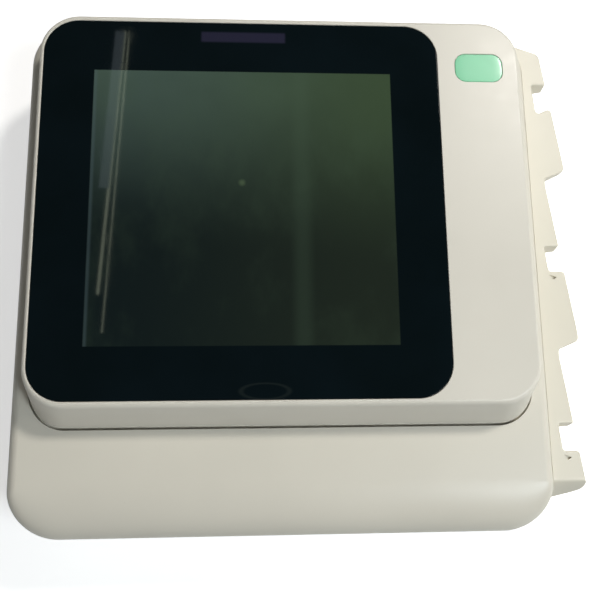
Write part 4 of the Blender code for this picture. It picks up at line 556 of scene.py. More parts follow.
# Adds or takes away what build(mesh, ...) draws
def combine(piece, operation, build, *values):
    guide = drawn("guide", build, *values)
    applyStep(piece, "BOOLEAN", operation=operation, solver="EXACT", object=guide)
    bpy.data.objects.remove(guide, do_unlink=True)


def carve(piece, build, *values):
    combine(piece, "DIFFERENCE", build, *values)


def join(piece, build, *values):
    combine(piece, "UNION", build, *values)


# Gives the piece its finish, body and place in the frame
def settle(piece, finish, body, replaced, degrees=35):
    material, usualSlot = paints[finish]
    piece.data.shade_smooth()
    piece.data.set_sharp_from_angle(angle=math.radians(degrees))
    even = piece.modifiers.new("normals", "WEIGHTED_NORMAL")
    even.keep_sharp = True
    piece.data.materials.clear()
    piece.data.materials.append(material)
    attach(piece, body)
    if replaced:
        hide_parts(*replaced)


# Case

past = 2  # cutters run this far past a face
caseLow, caseHigh = nodeBox("upper_case")
lidLow, lidHigh = nodeBox("screen_housing")
hingeY, hingeZ = middleOf("hinge_pin_left").yz
caseSizes = {
    "corner": 31,
    "wall": 3,
    "floor": 4,
    "floorEdge": 2,
    "sideRound": 7,
    "frontRound": 34,
    "frontFall": 16,
    "bottomRound": 5,
    "panTop": 31.85,
    "seamEdge": 0.35,
    "frontProud": 1,  # the apron's foot stands this far in front of the frame's shell
    "lidSetBack": 1.8,  # the photo's lid has its foot this far behind the frame's
}
caseLow.y -= caseSizes["frontProud"]
lidLow.y += caseSizes["lidSetBack"]


def caseColumns(inset):
    return roundedColumns(caseLow.x + inset, caseHigh.x - inset, caseLow.y + inset,
                          caseHigh.y - inset, caseSizes["corner"] - inset)


# One ring of the shoulder: a short round at the sides and rear, a long slope in front
def shoulderRing(inset, lean, drop):
    sizes = caseSizes
    ring = []
    for x, y, across, along in caseColumns(inset):
        reachX = (sizes["sideRound"] - inset) * across
        reachY = ((sizes["frontRound"] if along < 0 else sizes["sideRound"]) - inset) * along
        fallY = ((sizes["frontFall"] if along < 0 else sizes["sideRound"]) - inset) * along
        height = caseHigh.z - inset - math.hypot(reachX, fallY) * drop
        ring.append((x - reachX * lean, y - reachY * lean, height))
    return ring


bay = {
    "left": -22.5, "right": 107.5, "low": 36, "high": 57, "back": 164, "cornerRound": 2.5,
    "behind": 5, "portGap": 0.3, "inletLip": 1.2, "postHole": 3.3,
}
grooveSizes = {"inner": 0.2, "outer": 1.6, "deep": 6, "rib": 1.5, "corner": 22, "rearGap": 14}
openingSizes = {
    "hingeHalves": (10.5, 6), "hingeCorner": 1, "hingeFloor": 58,
    "seat": 11, "seatEdge": 0.25, "seatDepth": 1.8, "socketHole": 8.8, "screwHole": 1.8, "inside": 5,
}


def makeCaseTop():
    wall, edge = caseSizes["wall"], caseSizes["seamEdge"]
    rings = [shoulderRing(wall, lean, drop) for lean, drop in reversed(list(quarter(6)))]
    rings.append(levelRing(caseColumns(wall), caseLow.z))
    rings.append(levelRing(caseColumns(0), caseLow.z, edge))
    rings.append(levelRing(caseColumns(0), caseLow.z + edge))
    rings += [shoulderRing(0, lean, drop) for lean, drop in quarter(16)]
    top = drawn("caseTop", loft, rings)
    join(top, addBayWalls)
    join(top, addGrooveRib)
    carve(top, cutDeckGroove)
    carve(top, cutCaseOpenings)
    carve(top, cutPortHoles)
    settle(top, "ivory", "base", ["upper_case"])


def addBayWalls(mesh):
    wall = caseSizes["wall"]
    block(mesh, (bay["left"] - wall, bay["back"] - wall, bay["low"] - wall),
          (bay["right"] + wall, caseHigh.y - wall / 2, bay["high"] + wall))


# A hoop in the deck: just outside the lid's foot in front and at the sides, under the lid at the rear
def grooveHoop(mesh, inner, outer, floor, above):
    outline = roundedColumns(lidLow.x, lidHigh.x, lidLow.y, hingeY - grooveSizes["rearGap"],
                             grooveSizes["corner"], 20)
    loft(mesh, [levelRing(outline, floor, -outer), levelRing(outline, above, -outer),
                levelRing(outline, above, -inner), levelRing(outline, floor, -inner)], hoop=True)


# The rib under the deck gives the groove its walls
def addGrooveRib(mesh):
    sizes = grooveSizes
    rib = sizes["rib"]
    grooveHoop(mesh, sizes["inner"] - rib, sizes["outer"] + rib, caseHigh.z - sizes["deep"] - rib,
               caseHigh.z - caseSizes["wall"] / 2)


def cutDeckGroove(mesh):
    sizes = grooveSizes
    grooveHoop(mesh, sizes["inner"], sizes["outer"], caseHigh.z - sizes["deep"], caseHigh.z + past)


def cutCaseOpenings(mesh):
    sizes = openingSizes
    outline = roundedColumns(bay["left"], bay["right"], bay["low"], bay["high"], bay["cornerRound"], 6)
    lyingPrism(mesh, outline, bay["back"], caseHigh.y + past)
    for side in ("left", "right"):
        x = middleOf("hinge_bracket_" + side).x
        prism(mesh, centredColumns(x, hingeY, sizes["hingeHalves"], sizes["hingeCorner"], 4),
              sizes["hingeFloor"], caseHigh.z + past)
    face, edge, radius, hole = caseLow.x, sizes["seatEdge"], sizes["seat"], sizes["socketHole"]
    seat = face + sizes["seatDepth"]
    for name in numbered("transducer_socket"):
        turned(mesh, middleOf(name), "X",
               ((radius, face - past), (radius, face), (radius - edge, face + edge), (radius - edge, seat),
                (hole, seat), (hole, face + sizes["inside"])), 56)
    hole = sizes["screwHole"]
    for name in numbered("holder_screw", 2):
        turned(mesh, middleOf(name), "X",
               ((hole, caseHigh.x - sizes["inside"]), (hole, caseHigh.x + past)), 20)


def cutPortHoles(mesh):
    near, far = bay["back"] - bay["behind"], bay["back"] + past
    holes = {"network_port": bay["portGap"], "usb_port": bay["portGap"], "mains_inlet": -bay["inletLip"]}
    for name, grow in holes.items():
        low, high = nodeBox(name)
        block(mesh, (low.x - grow, near, low.z - grow), (high.x + grow, far, high.z + grow))
    turned(mesh, middleOf("earth_post"), "Y", [(bay["postHole"], place) for place in (near, far)], 24)


drawerLow, drawerHigh = nodeBox("drawer_front")
panSizes = {
    "below": 2, "above": 10, "inside": 5, "gap": 0.3,
    "drawerGap": 0.5, "drawerTop": 34,
    "keyHole": 7.8, "keyEdge": 0.5, "releaseHalves": (6.3, 4.3), "releaseCorner": 1.6,
    "batteryRoom": 2, "batteryFloor": 5.9, "coverCorner": 2, "coverSeat": 6.3,
    "slots": 5, "slotPitch": 6, "slotHalves": (14, 1.2), "slotRound": 1.19,
    "footHole": 9.3, "screwHead": (3.9, 4), "screwHole": (3.3, 4.6), "coverScrew": (1.2, 5), "boreTop": 9,
}


def makeCasePan():
    wall, edge = caseSizes["wall"], caseSizes["seamEdge"]
    radius, seam, floorEdge = caseSizes["bottomRound"], caseSizes["panTop"], caseSizes["floorEdge"]
    bottom = nodeBox("lower_case")[0].z
    floorTop = bottom + caseSizes["floor"]
    rings = [levelRing(caseColumns(wall), floorTop, floorEdge)]
    rings += [levelRing(caseColumns(wall), height) for height in (floorTop + floorEdge, seam)]
    rings += [levelRing(caseColumns(0), seam, edge), levelRing(caseColumns(0), seam - edge)]
    rings += [levelRing(caseColumns(0), bottom + radius * drop, radius * lean) for lean, drop in quarter(8)]
    pan = drawn("casePan", loft, rings)
    carve(pan, cutPanOpenings)
    carve(pan, cutPanSeats)
    carve(pan, cutPanBores)
    settle(pan, "ivory", "base", ["lower_case"])


def cutPanOpenings(mesh):
    sizes = panSizes
    front = caseLow.y
    near, far = front - past, front + sizes["inside"]
    gap, radius, edge = sizes["drawerGap"], sizes["keyHole"], sizes["keyEdge"]
    block(mesh, (drawerLow.x - gap, near, drawerLow.z - sizes["gap"]),
          (drawerHigh.x + gap, far, sizes["drawerTop"]))
    turned(mesh, middleOf("power_button"), "Y",
           ((radius, near), (radius, front), (radius - edge, front + edge), (radius - edge, far)))
    middle = middleOf("drawer_button")
    lyingPrism(mesh, centredColumns(middle.x, middle.z, sizes["releaseHalves"], sizes["releaseCorner"], 6),
               near, far)
    low, high = nodeBox("battery_pack")
    room = sizes["batteryRoom"]
    block(mesh, (low.x - room, low.y - room, sizes["batteryFloor"]),
          (high.x + room, high.y + room, sizes["above"]))
    middle = middleOf("speaker")
    for i in range(sizes["slots"]):
        y = middle.y + (i - (sizes["slots"] - 1) / 2) * sizes["slotPitch"]
        prism(mesh, centredColumns(middle.x, y, sizes["slotHalves"], sizes["slotRound"], 5),
              sizes["below"], sizes["above"])


def cutPanSeats(mesh):
    sizes = panSizes
    outline = boxColumns(*nodeBox("battery_cover"), sizes["coverCorner"], 6, sizes["gap"])
    prism(mesh, outline, sizes["below"], sizes["coverSeat"])
    for name in numbered("rubber_foot"):
        top = nodeBox(name)[1].z + sizes["gap"]
        turned(mesh, middleOf(name), "Z", [(sizes["footHole"], place) for place in (sizes["below"], top)])


def cutPanBores(mesh):
    sizes = panSizes
    head, hole, coverHole = sizes["screwHead"], sizes["screwHole"], sizes["coverScrew"]
    for name in numbered("case_screw"):
        turned(mesh, middleOf(name), "Z",
               ((head[0], sizes["below"]), head, hole, (hole[0], sizes["boreTop"])), 32)
    turned(mesh, middleOf("battery_cover_screw"), "Z", (coverHole, (coverHole[0], sizes["boreTop"])), 20)


footSizes = {"radius": 9, "rim": 1.4, "dimple": ((2, 1.1), (5.4, 0.9), (6, 0.2), (6.4, 0))}


# Rubber feet with a dimple below; the rim's arc doubles back under itself
def makeFeet():
    radius, rim = footSizes["radius"], footSizes["rim"]
    for number, name in enumerate(numbered("rubber_foot"), 1):
        stations = list(footSizes["dimple"])
        stations += [(radius - rim * drop, rim * lean) for lean, drop in reversed(list(quarter(6)))]
        stations.append((radius, nodeBox(name)[1].z))
        foot = drawn("foot" + str(number), turned, middleOf(name), "Z", stations)
        settle(foot, "rubber", "base", [name])


makeCaseTop()
makeCasePan()
makeFeet()
print("Case made")


# Screen lid

glassLow, glassHigh = nodeBox("touch_glass")
lidSizes = {
    "frontRun": 11.2,
    "corner": 25.5,
    "footCorner": 22,
    "topRound": 2.4,
    "rearRound": 10,
    "outerShares": (0.12, 0.25, 0.42, 0.62, 1),
    "innerShares": (0, 0.4, 0.7, 0.9, 0.99),
    "wall": 3,
    "roof": 4,
    "lipDrop": 0.3,
    "lowerEdge": 0.5,
    "windowGap": 0.3, "windowHeights": (84, 88.5),
    "hingeHalf": 18.5, "hingeRoom": (-7.9, 12.5), "hingeHeights": (66, 84.7),
}
glassSizes = {"corner": 22, "edge": 0.35, "foot": 0.15, "seat": 87.9, "gap": 0.3, "lip": 0.25}
badgeSizes = {
    "centre": (118, 128.2), "halves": (15.9, 9.9), "corner": 7.2, "edge": 0.4,
    "crown": ((0.12, 0.4), (0.05, 2), (0, 6)),  # fall below the top, inset
    "seatDepth": 0.3, "gap": 0.25, "lip": 0.2,
}


def badgeOutline(steps):
    return centredColumns(*badgeSizes["centre"], badgeSizes["halves"], badgeSizes["corner"], steps)


def lidFrontAt(height):
    return lidLow.y + lidSizes["frontRun"] * (height - lidLow.z) / (lidHigh.z - lidLow.z)


# The rear face turns under, round the hinge axis
def lidRearAt(height, inset):
    if height >= hingeZ:
        return lidHigh.y - inset
    reach = (lidSizes["rearRound"] - inset) ** 2 - (hingeZ - height) ** 2
    return hingeY + math.sqrt(max(reach, 0))


# The corners are tighter at the foot than round the top
def lidRing(height, inset, rear=None):
    sizes = lidSizes
    rear = lidRearAt(height, inset) if rear is None else rear
    share = (height - lidLow.z) / (lidHigh.z - lidLow.z)
    corner = sizes["footCorner"] + (sizes["corner"] - sizes["footCorner"]) * share
    return levelRing(roundedColumns(lidLow.x + inset, lidHigh.x - inset, lidFrontAt(height) + inset,
                                    rear, corner - inset, 20), height)


def makeLidShell():
    sizes = lidSizes
    wall, edge, bend, topRound = sizes["wall"], sizes["lowerEdge"], sizes["rearRound"], sizes["topRound"]
    shell = bend - wall
    lip = hingeY - wall
    rings = [lidRing(lidHigh.z - sizes["roof"], wall)]
    rings += [lidRing(hingeZ - shell * share, wall) for share in sizes["innerShares"]]
    rings += [lidRing(hingeZ - shell - sizes["lipDrop"], wall, lip), lidRing(lidLow.z, wall, lip)]
    rings += [lidRing(lidLow.z, edge), lidRing(lidLow.z + edge, 0)]
    rings += [lidRing(lidLow.z + bend * share, 0) for share in sizes["outerShares"]]
    rings += [lidRing(lidHigh.z - topRound * drop, topRound * lean) for lean, drop in quarter(8)]
    shellPiece = drawn("lidShell", loft, rings)
    carve(shellPiece, cutLidSeats)
    carve(shellPiece, cutLidOpenings)
    settle(shellPiece, "ivoryLid", "screen", ["screen_housing"])


def cutSeat(mesh, outline, floor, gap, lip):
    top = lidHigh.z
    loft(mesh, [levelRing(outline, floor, -gap), levelRing(outline, top - lip, -gap),
                levelRing(outline, top, -gap - lip), levelRing(outline, top + past, -gap - lip)])


def cutLidSeats(mesh):
    glass, badge = glassSizes, badgeSizes
    outline = boxColumns(glassLow, glassHigh, glass["corner"], 20)
    cutSeat(mesh, outline, glass["seat"], glass["gap"], glass["lip"])
    floor = nodeBox("badge_plate")[0].z - badge["seatDepth"]
    cutSeat(mesh, badgeOutline(12), floor, badge["gap"], badge["lip"])


def cutLidOpenings(mesh):
    sizes = lidSizes
    gap, half = sizes["windowGap"], sizes["hingeHalf"]
    for name in ("lcd_panel", "alarm_light"):
        low, high = nodeBox(name)
        bottom, top = sizes["windowHeights"]
        block(mesh, (low.x - gap, low.y - gap, bottom), (high.x + gap, high.y + gap, top))
    for side in ("left", "right"):
        x = middleOf("hinge_pin_" + side).x
        (near, far), (bottom, top) = sizes["hingeRoom"], sizes["hingeHeights"]
        block(mesh, (x - half, hingeY + near, bottom), (x + half, hingeY + far, top))


def makeCoverGlass():
    edge, foot = glassSizes["edge"], glassSizes["foot"]
    outline = boxColumns(glassLow, glassHigh, glassSizes["corner"], 24)
    rings = [levelRing(outline, glassLow.z, foot), levelRing(outline, glassLow.z + foot)]
    rings += [levelRing(outline, glassHigh.z - edge * drop, edge * lean) for lean, drop in quarter(4)]
    settle(drawn("coverGlass", loft, rings), "cover", "screen", ["touch_glass"])


# The bare plate, a little crowned, with a rounded edge
def makeBadge():
    low, high = nodeBox("badge_plate")
    outline = badgeOutline(16)
    edge, crown = badgeSizes["edge"], badgeSizes["crown"]
    rings = [levelRing(outline, low.z)]
    rings += [levelRing(outline, high.z - crown[0][0] - edge * drop, edge * lean)
              for lean, drop in quarter(6)]
    rings += [levelRing(outline, high.z - fall, inset) for fall, inset in crown[1:]]
    settle(drawn("greenPlate", loft, rings), "badge", "screen", ["badge_plate"])


makeLidShell()
makeCoverGlass()
makeBadge()
print("Screen lid made")


# Transducer rack

rackLow, rackHigh = nodeBox("transducer_holder")
rackSizes = {
    "height": 13.5,  # the photo shows thin arms over a screw boss, not the frame's full depth
    "reach": 25, "recess": 11.1, "units": 3, "pitch": 119, "firstNotch": caseHigh.y - 39.8,
    "rear": caseHigh.y - 16, "front": caseLow.y + 26.2, "rearSlant": 7.1, "frontSlant": 10.5,
    "arm": 43.4, "notch": 17.5, "hook": 5.2, "tab": 47.3, "tabSlant": 5.8,
    "rootRear": 6.8, "rootFront": 8.6, "tipRound": 5, "neckRound": 2.5, "cornerRound": 1.2,
    "topRound": 1.1, "lean": 2.5, "edgeHeight": 4.5, "wall": 2.8, "skin": 3, "gap": 0.4,
    "endInset": 5.3, "endReach": 14, "endDrop": 15.5,
    "bossRadius": 4.4, "bossReach": 6.2, "bossEdge": 0.6, "bossRoot": 1, "screwHole": 1.8, "screwRoom": 0.3,
    "spotLength": 5, "spotWidth": 3.5, "spotInset": 4, "spotDepth": 1.5,
    "bendShares": ((-0.10, -0.004), (0, 0.006), (0.06, 0.03), (0.12, 0.072), (0.2, 0.143), (0.3, 0.245),
                   (0.5, 0.468), (1, 1.04)),
}
rackLow.z = rackHigh.z - rackSizes["height"]


def rackEdge(notch, y):
    sizes = rackSizes
    run = sizes["arm"] + sizes["notch"] + sizes["tab"] - sizes["tipRound"]
    return sizes["recess"] + (sizes["reach"] - sizes["recess"]) * (notch + sizes["arm"] - y) / run


def rackNotches():
    return [rackSizes["firstNotch"] - i * rackSizes["pitch"] for i in range(rackSizes["units"])]


# The first notch's front wall is lower at its root, as a hook
def notchRoot(notch):
    sizes = rackSizes
    return notch - sizes["notch"] - (sizes["hook"] if notch == sizes["firstNotch"] else 0)


# The outline, its notches' rear walls moved forward by the lean
def rackCorners(lean):
    sizes = rackSizes
    notches = rackNotches()
    tip, neck, small = sizes["tipRound"], sizes["neckRound"], sizes["cornerRound"]
    corners = [(rackEdge(notches[0], sizes["rear"]), sizes["rear"], tip)]
    for notch in notches:
        wall = notch - sizes["notch"]
        corners += [(rackEdge(notch, notch), notch - lean, small),
                    (sizes["rootRear"], notch - lean, small),
                    (sizes["rootFront"], notchRoot(notch), neck), (rackEdge(notch, wall), wall, neck)]
        if notch == notches[-1]:
            corners.append((rackEdge(notch, sizes["front"]), sizes["front"], tip))
        else:
            end = wall - sizes["tab"]
            corners += [(sizes["reach"], end + tip, tip), (sizes["reach"], end, tip),
                        (sizes["recess"], end - sizes["tabSlant"], neck),
                        (sizes["recess"], notch - sizes["pitch"] + sizes["arm"], small)]
    corners = [(caseHigh.x + x, y, radius) for x, y, radius in corners][::-1]
    inside = caseHigh.x - caseSizes["corner"] / 2
    front, rear = sizes["front"], sizes["rear"]
    first = [(inside, front, 0), (caseHigh.x - sizes["rootRear"], front - sizes["frontSlant"], 0)]
    last = [(caseHigh.x - sizes["rootRear"], rear + sizes["rearSlant"], 0), (inside, rear, 0)]
    return first + corners + last


def rackRing(height, inset):
    lean = rackSizes["lean"] * (rackHigh.z - height) / (rackHigh.z - rackLow.z)
    return levelRing(outlineColumns(softPolygon(rackCorners(lean))), height, inset)


def makeRack():
    topRound = rackSizes["topRound"]
    rings = [rackRing(rackLow.z, 0)]
    rings += [rackRing(rackHigh.z - topRound * drop, topRound * lean) for lean, drop in quarter(6)]
    rack = drawn("sideRack", loft, rings)
    carve(rack, cutRackUnderside)
    carve(rack, cutRackEnd)
    join(rack, addRackBosses)
    carve(rack, prism, caseColumns(-rackSizes["gap"]), rackLow.z - past, rackHigh.z + past)
    carve(rack, cutRackPockets)
    settle(rack, "rack", "base", ["transducer_holder"])


# The underside rises from the case to the thin outer edge
def cutRackUnderside(mesh):
    outer = caseHigh.x + rackSizes["reach"] + past
    outline = [(caseHigh.x, rackLow.z), (caseHigh.x, rackLow.z - past), (outer, rackLow.z - past),
               (outer, rackHigh.z - rackSizes["edgeHeight"])]
    loft(mesh, [[(x, y, z) for x, z in outline] for y in (caseLow.y, caseHigh.y)])


# Round bosses under the notches take the two screws from the case
def addRackBosses(mesh):
    sizes = rackSizes
    radius, edge, end = sizes["bossRadius"], sizes["bossEdge"], caseHigh.x + sizes["bossReach"]
    for name in numbered("holder_screw", 2):
        turned(mesh, middleOf(name), "X", ((radius, caseHigh.x - sizes["bossRoot"]), (radius, end - edge),
                                           (radius - edge, end)), 32)


# The front end rounds over and slopes down like the apron beside it
def cutRackEnd(mesh):
    sizes = rackSizes
    ridge = sizes["front"] + sizes["endInset"]
    outline = [(ridge - run * sizes["endReach"], rackHigh.z - fall * sizes["endDrop"])
               for run, fall in sizes["bendShares"]]
    far = ridge - sizes["endReach"] - sizes["frontSlant"]
    outline += [(far, outline[-1][1]), (far, rackHigh.z + past), (outline[0][0], rackHigh.z + past)]
    ends = (caseHigh.x - caseSizes["corner"], caseHigh.x + sizes["reach"] + past)
    loft(mesh, [[(x, y, z) for y, z in outline] for x in ends])


def pointPrism(mesh, points, low, high):
    loft(mesh, [[(x, y, height) for x, y in points] for height in (low, high)])


def cutRackPockets(mesh):
    sizes = rackSizes
    wall, tip = sizes["wall"], sizes["tipRound"]
    notches = rackNotches()
    halfX, halfY = sizes["spotLength"] / 2, sizes["spotWidth"] / 2
    for notch in notches:
        front = sizes["front"] if notch == notches[-1] else notch - sizes["notch"] - sizes["tab"]
        pocketCells(mesh, notch, notchRoot(notch) - wall, front + tip)
        if notch == notches[0]:
            pocketCells(mesh, notch, sizes["rear"] - tip, notch + wall)
            continue
        pocketCells(mesh, notch, notch + sizes["arm"] - wall, notch + wall)
        y = notch - sizes["notch"] - sizes["spotInset"]
        x = caseHigh.x + sizes["rootFront"] + halfX
        pointPrism(mesh, [(x - halfX, y + halfY), (x, y - halfY), (x + halfX, y)],
                   rackHigh.z - sizes["spotDepth"], rackHigh.z + past)
    for name in numbered("holder_screw", 2):
        end = nodeBox(name)[1].x + sizes["screwRoom"]
        turned(mesh, middleOf(name), "X", [(sizes["screwHole"], place) for place in (caseHigh.x, end)], 16)


def pocketCells(mesh, notch, start, end):
    wall = rackSizes["wall"]
    inner = caseHigh.x + rackSizes["gap"] + wall
    middle = (start + end) / 2
    for rear, front in ((start, middle + wall / 2), (middle - wall / 2, end)):
        outerRear, outerFront = (caseHigh.x + rackEdge(notch, y) - wall for y in (rear, front))
        pointPrism(mesh, [(inner, front), (outerFront, front), (outerRear, rear), (inner, rear)],
                   rackLow.z - past, rackHigh.z - rackSizes["skin"])


makeRack()
print("Rack made")


# Sockets, drawer front and keys

socketSizes = {
    "bore": 6.5, "boreDepth": 11, "flange": 10.5, "flangeBack": 1.2, "barrel": 8.5,
    "rim": ((6.5, 0.9), (6.7, 0.5), (7.3, 0.4), (8.2, 0.35), (8.4, 0.05), (8.7, 0), (10, 0), (10.3, 0.1),
            (10.5, 0.4)),
    "keyHalf": 1.1, "keyHeights": (5.2, 6.8), "keyEnd": 1,
    "pins": 4, "pinRing": 3.5, "pin": ((0.2, -5), (0.5, -4.7), (0.6, -4.3), (0.6, 0.5)),
}


def makeSockets():
    sizes = socketSizes
    half, (keyLow, keyHigh) = sizes["keyHalf"], sizes["keyHeights"]
    for number, name in enumerate(numbered("transducer_socket"), 1):
        low, high = nodeBox(name)
        middle = middleOf(name)
        face, back, flangeBack = low.x, low.x + sizes["boreDepth"], low.x + sizes["flangeBack"]
        stations = [(sizes["bore"], back)] + [(radius, face + depth) for radius, depth in sizes["rim"]]
        stations += [(sizes["flange"], flangeBack), (sizes["barrel"], flangeBack), (sizes["barrel"], high.x)]
        socket = drawn("socket" + str(number), turned, middle, "X", stations, 64)
        join(socket, block, (flangeBack, middle.y - half, middle.z + keyLow),
             (back + sizes["keyEnd"], middle.y + half, middle.z + keyHigh))
        settle(socket, "grey", "base", [name])
        pins = drawn("socketPins" + str(number), addPins, middle, back)
        settle(pins, "brass", "base", [])


def addPins(mesh, middle, back):
    sizes = socketSizes
    stations = [(radius, back + place) for radius, place in sizes["pin"]]
    for i in range(sizes["pins"]):
        angle = math.tau * i / sizes["pins"]
        y = middle.y + sizes["pinRing"] * math.cos(angle)
        z = middle.z + sizes["pinRing"] * math.sin(angle)
        turned(mesh, (0, y, z), "X", stations, 12)


faceSizes = {"corner": 1, "edge": 0.8}


def makeDrawerFront():
    low, high, edge = drawerLow, drawerHigh, faceSizes["edge"]
    outline = roundedColumns(low.x, high.x, low.z, high.z, faceSizes["corner"], 5)
    rings = [[(x - edge * lean * across, low.y + edge * drop, z - edge * lean * along)
              for x, z, across, along in outline] for lean, drop in reversed(list(quarter(5)))]
    rings.append([(x, high.y, z) for x, z, across, along in outline])
    settle(drawn("drawerFace", loft, rings), "ivory", "drawer", ["drawer_front"])


# The key's profile: radius, place behind its face
keyProfile = ((0.6, 0.75), (2.4, 0.68), (4.2, 0.45), (5.3, 0.15), (5.9, 0), (6.5, 0.08), (6.9, 0.35),
              (7, 0.8), (7, 5.6), (8.6, 5.6), (8.8, 5.8))


def makePowerKey():
    low, high = nodeBox("power_button")
    stations = [(radius, low.y + place) for radius, place in keyProfile] + [(keyProfile[-1][0], high.y)]
    stations = [(min(radius, (high.x - low.x) / 2), place) for radius, place in stations]
    key = drawn("powerKey", turned, middleOf("power_button"), "Y", stations, 56)
    settle(key, "key", "power_key", ["power_button"])


makeSockets()
makeDrawerFront()
makePowerKey()
print("Fittings made")


# Finer copies of the frame's smaller pieces

# A closed copy of a node, with its flat faces whole again
def copyNode(name):
    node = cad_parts[name]
    mesh = bmesh.new()
    mesh.from_mesh(node.data)
    mesh.transform(node.matrix_world)
    bmesh.ops.remove_doubles(mesh, verts=mesh.verts, dist=1e-6)
    bmesh.ops.dissolve_limit(mesh, angle_limit=math.radians(0.5), verts=mesh.verts, edges=mesh.edges)
    data = bpy.data.meshes.new(name)
    mesh.to_mesh(data)
    mesh.free()
    return newObject(name + "Fine", data)


# The copy gets a small round on every sharp edge, a cut and an addition
def refine(name, finish, body, edge=0.3, cut=None, add=None, degrees=35):
    piece = copyNode(name)
    applyStep(piece, "BEVEL", width=edge * mm, segments=2, limit_method="ANGLE",
              angle_limit=math.radians(40), harden_normals=False)
    if cut:
        carve(piece, cut)
    if add:
        join(piece, add)
    settle(piece, finish, body, [name], degrees)


# Shares of the head's radius and height; the root and tip of the thread are shares of its radius
screwShares = {
    "dome": ((0.35, 0), (0.75, 0.105), (0.95, 0.35), (1, 0.56)), "root": 0.8, "tip": 0.3,
    "crossReach": 0.55, "crossHalf": 0.12, "crossDepth": 0.55,
    "valley": 0.45, "crest": 0.9,  # places in a turn of the thread, as shares of its pitch
}
# Head radius, head height, thread radius, pitch
screwSizes = {
    "case_screw": (3, 2.2, 1.5, 0.7),
    "screen_screw": (2.35, 1.4, 1.1, 0.5),
    "battery_cover_screw": (1.65, 0.9, 0.9, 0.4),
}


# A screw with a domed head, a cross recess and a ringed thread, head down along Z
def makeScrew(name, body, headRadius, headHeight, radius, pitch):
    shares = screwShares
    low, high = nodeBox(name)
    middle = middleOf(name)
    stations = [(headRadius * wide, low.z + headHeight * place) for wide, place in shares["dome"]]
    stations += [(headRadius, low.z + headHeight), (radius, low.z + headHeight)]
    place = low.z + headHeight + pitch
    while place < high.z - 2 * pitch:
        stations += [(radius, place), (radius * shares["root"], place + pitch * shares["valley"]),
                     (radius, place + pitch * shares["crest"])]
        place += pitch
    stations += [(radius * shares["root"], high.z - pitch), (radius * shares["tip"], high.z)]
    screw = drawn(name + "Fine", turned, middle, "Z", stations, 28)
    reach, half = headRadius * shares["crossReach"], headRadius * shares["crossHalf"]
    top = low.z + headHeight * shares["crossDepth"]
    for halfX, halfY in ((reach, half), (half, reach)):
        carve(screw, block, (middle.x - halfX, middle.y - halfY, low.z - past),
              (middle.x + halfX, middle.y + halfY, top))
    settle(screw, "steel", body, [name])


def makeScrews():
    for case, screen in zip(numbered("case_screw"), numbered("screen_screw")):
        makeScrew(case, "base", *screwSizes["case_screw"])
        makeScrew(screen, "screen", *screwSizes["screen_screw"])
    makeScrew("battery_cover_screw", "base", *screwSizes["battery_cover_screw"])


gripSizes = {"ribs": (-2, 0, 2), "halves": (3.4, 0.4), "round": 0.39, "proud": 0.25, "root": 0.6}


# Three low grip ribs on the drawer's release key
def ribReleaseKey(mesh):
    sizes = gripSizes
    face = nodeBox("drawer_button")[0].y
    middle = middleOf("drawer_button")
    for shift in sizes["ribs"]:
        lyingPrism(mesh, centredColumns(middle.x, middle.z + shift, sizes["halves"], sizes["round"], 4),
                   face - sizes["proud"], face + sizes["root"])


# A row of slots along x, each the same prism
def slotRow(mesh, sizes, start, y, bottom, top):
    for i in range(sizes["count"]):
        x = start + i * sizes["pitch"]
        prism(mesh, centredColumns(x, y, sizes["halves"], sizes["round"], 4), bottom, top)


padSizes = {"count": 7, "start": 24, "pitch": 2.4, "halves": (0.5, 11), "round": 0.49, "deep": 0.4}


# A pad of finger grooves in the battery's cover
def grooveCover(mesh):
    sizes = padSizes
    low, high = nodeBox("battery_cover")
    slotRow(mesh, sizes, high.x - sizes["start"], (low.y + high.y) / 2, low.z - past, low.z + sizes["deep"])


# Blocks in a port: half width, reach from the port's mouth, and heights from its middle
portSizes = {
    "contacts": 8, "pitch": 1.02, "springs": (-3.4, 3.4),
    "contact": (0.22, (-10.5, -2.5), (3.3, 4.6)),
    "latch": (3.1, (-9, 1), (-5.4, -3)),
    "spring": (0.9, (-6, -1.5), (-2.9, -2.2)),
}


def portBlock(mesh, name, kind, shift=0):
    half, (near, far), (bottom, top) = portSizes[kind]
    middle, mouth = middleOf(name), nodeBox(name)[1].y
    block(mesh, (middle.x + shift - half, mouth + near, middle.z + bottom),
          (middle.x + shift + half, mouth + far, middle.z + top))


def addNetworkContacts(mesh):
    for i in range(portSizes["contacts"]):
        portBlock(mesh, "network_port", "contact", (i - (portSizes["contacts"] - 1) / 2) * portSizes["pitch"])


def cutLatchNotch(mesh):
    portBlock(mesh, "network_port", "latch")


def addDataSprings(mesh):
    for shift in portSizes["springs"]:
        portBlock(mesh, "usb_port", "spring", shift)


# Grooves round a turned piece, each with the same section: radius, place along the axis
def ringGrooves(mesh, name, axis, section, places, sides):
    for place in places:
        ring = [(radius, place + run) for radius, run in section]
        turned(mesh, middleOf(name), axis, ring, sides, 0, True)


threadSizes = {
    "section": ((2.55, 0), (2.55, 0.15), (4, 0.35), (4, -0.2)), "rings": 4, "pitch": 0.8, "start": 3.6,
}
sleeveSizes = {"section": ((5.7, -0.15), (5.7, 0.15), (7, 0.4), (7, -0.4)), "rings": 11}


# Rings on the post's stud stand in for its thread
def cutPostThread(mesh):
    sizes = threadSizes
    start = nodeBox("earth_post")[1].y - sizes["start"]
    places = [start + i * sizes["pitch"] for i in range(sizes["rings"])]
    ringGrooves(mesh, "earth_post", "Y", sizes["section"], places, 32)


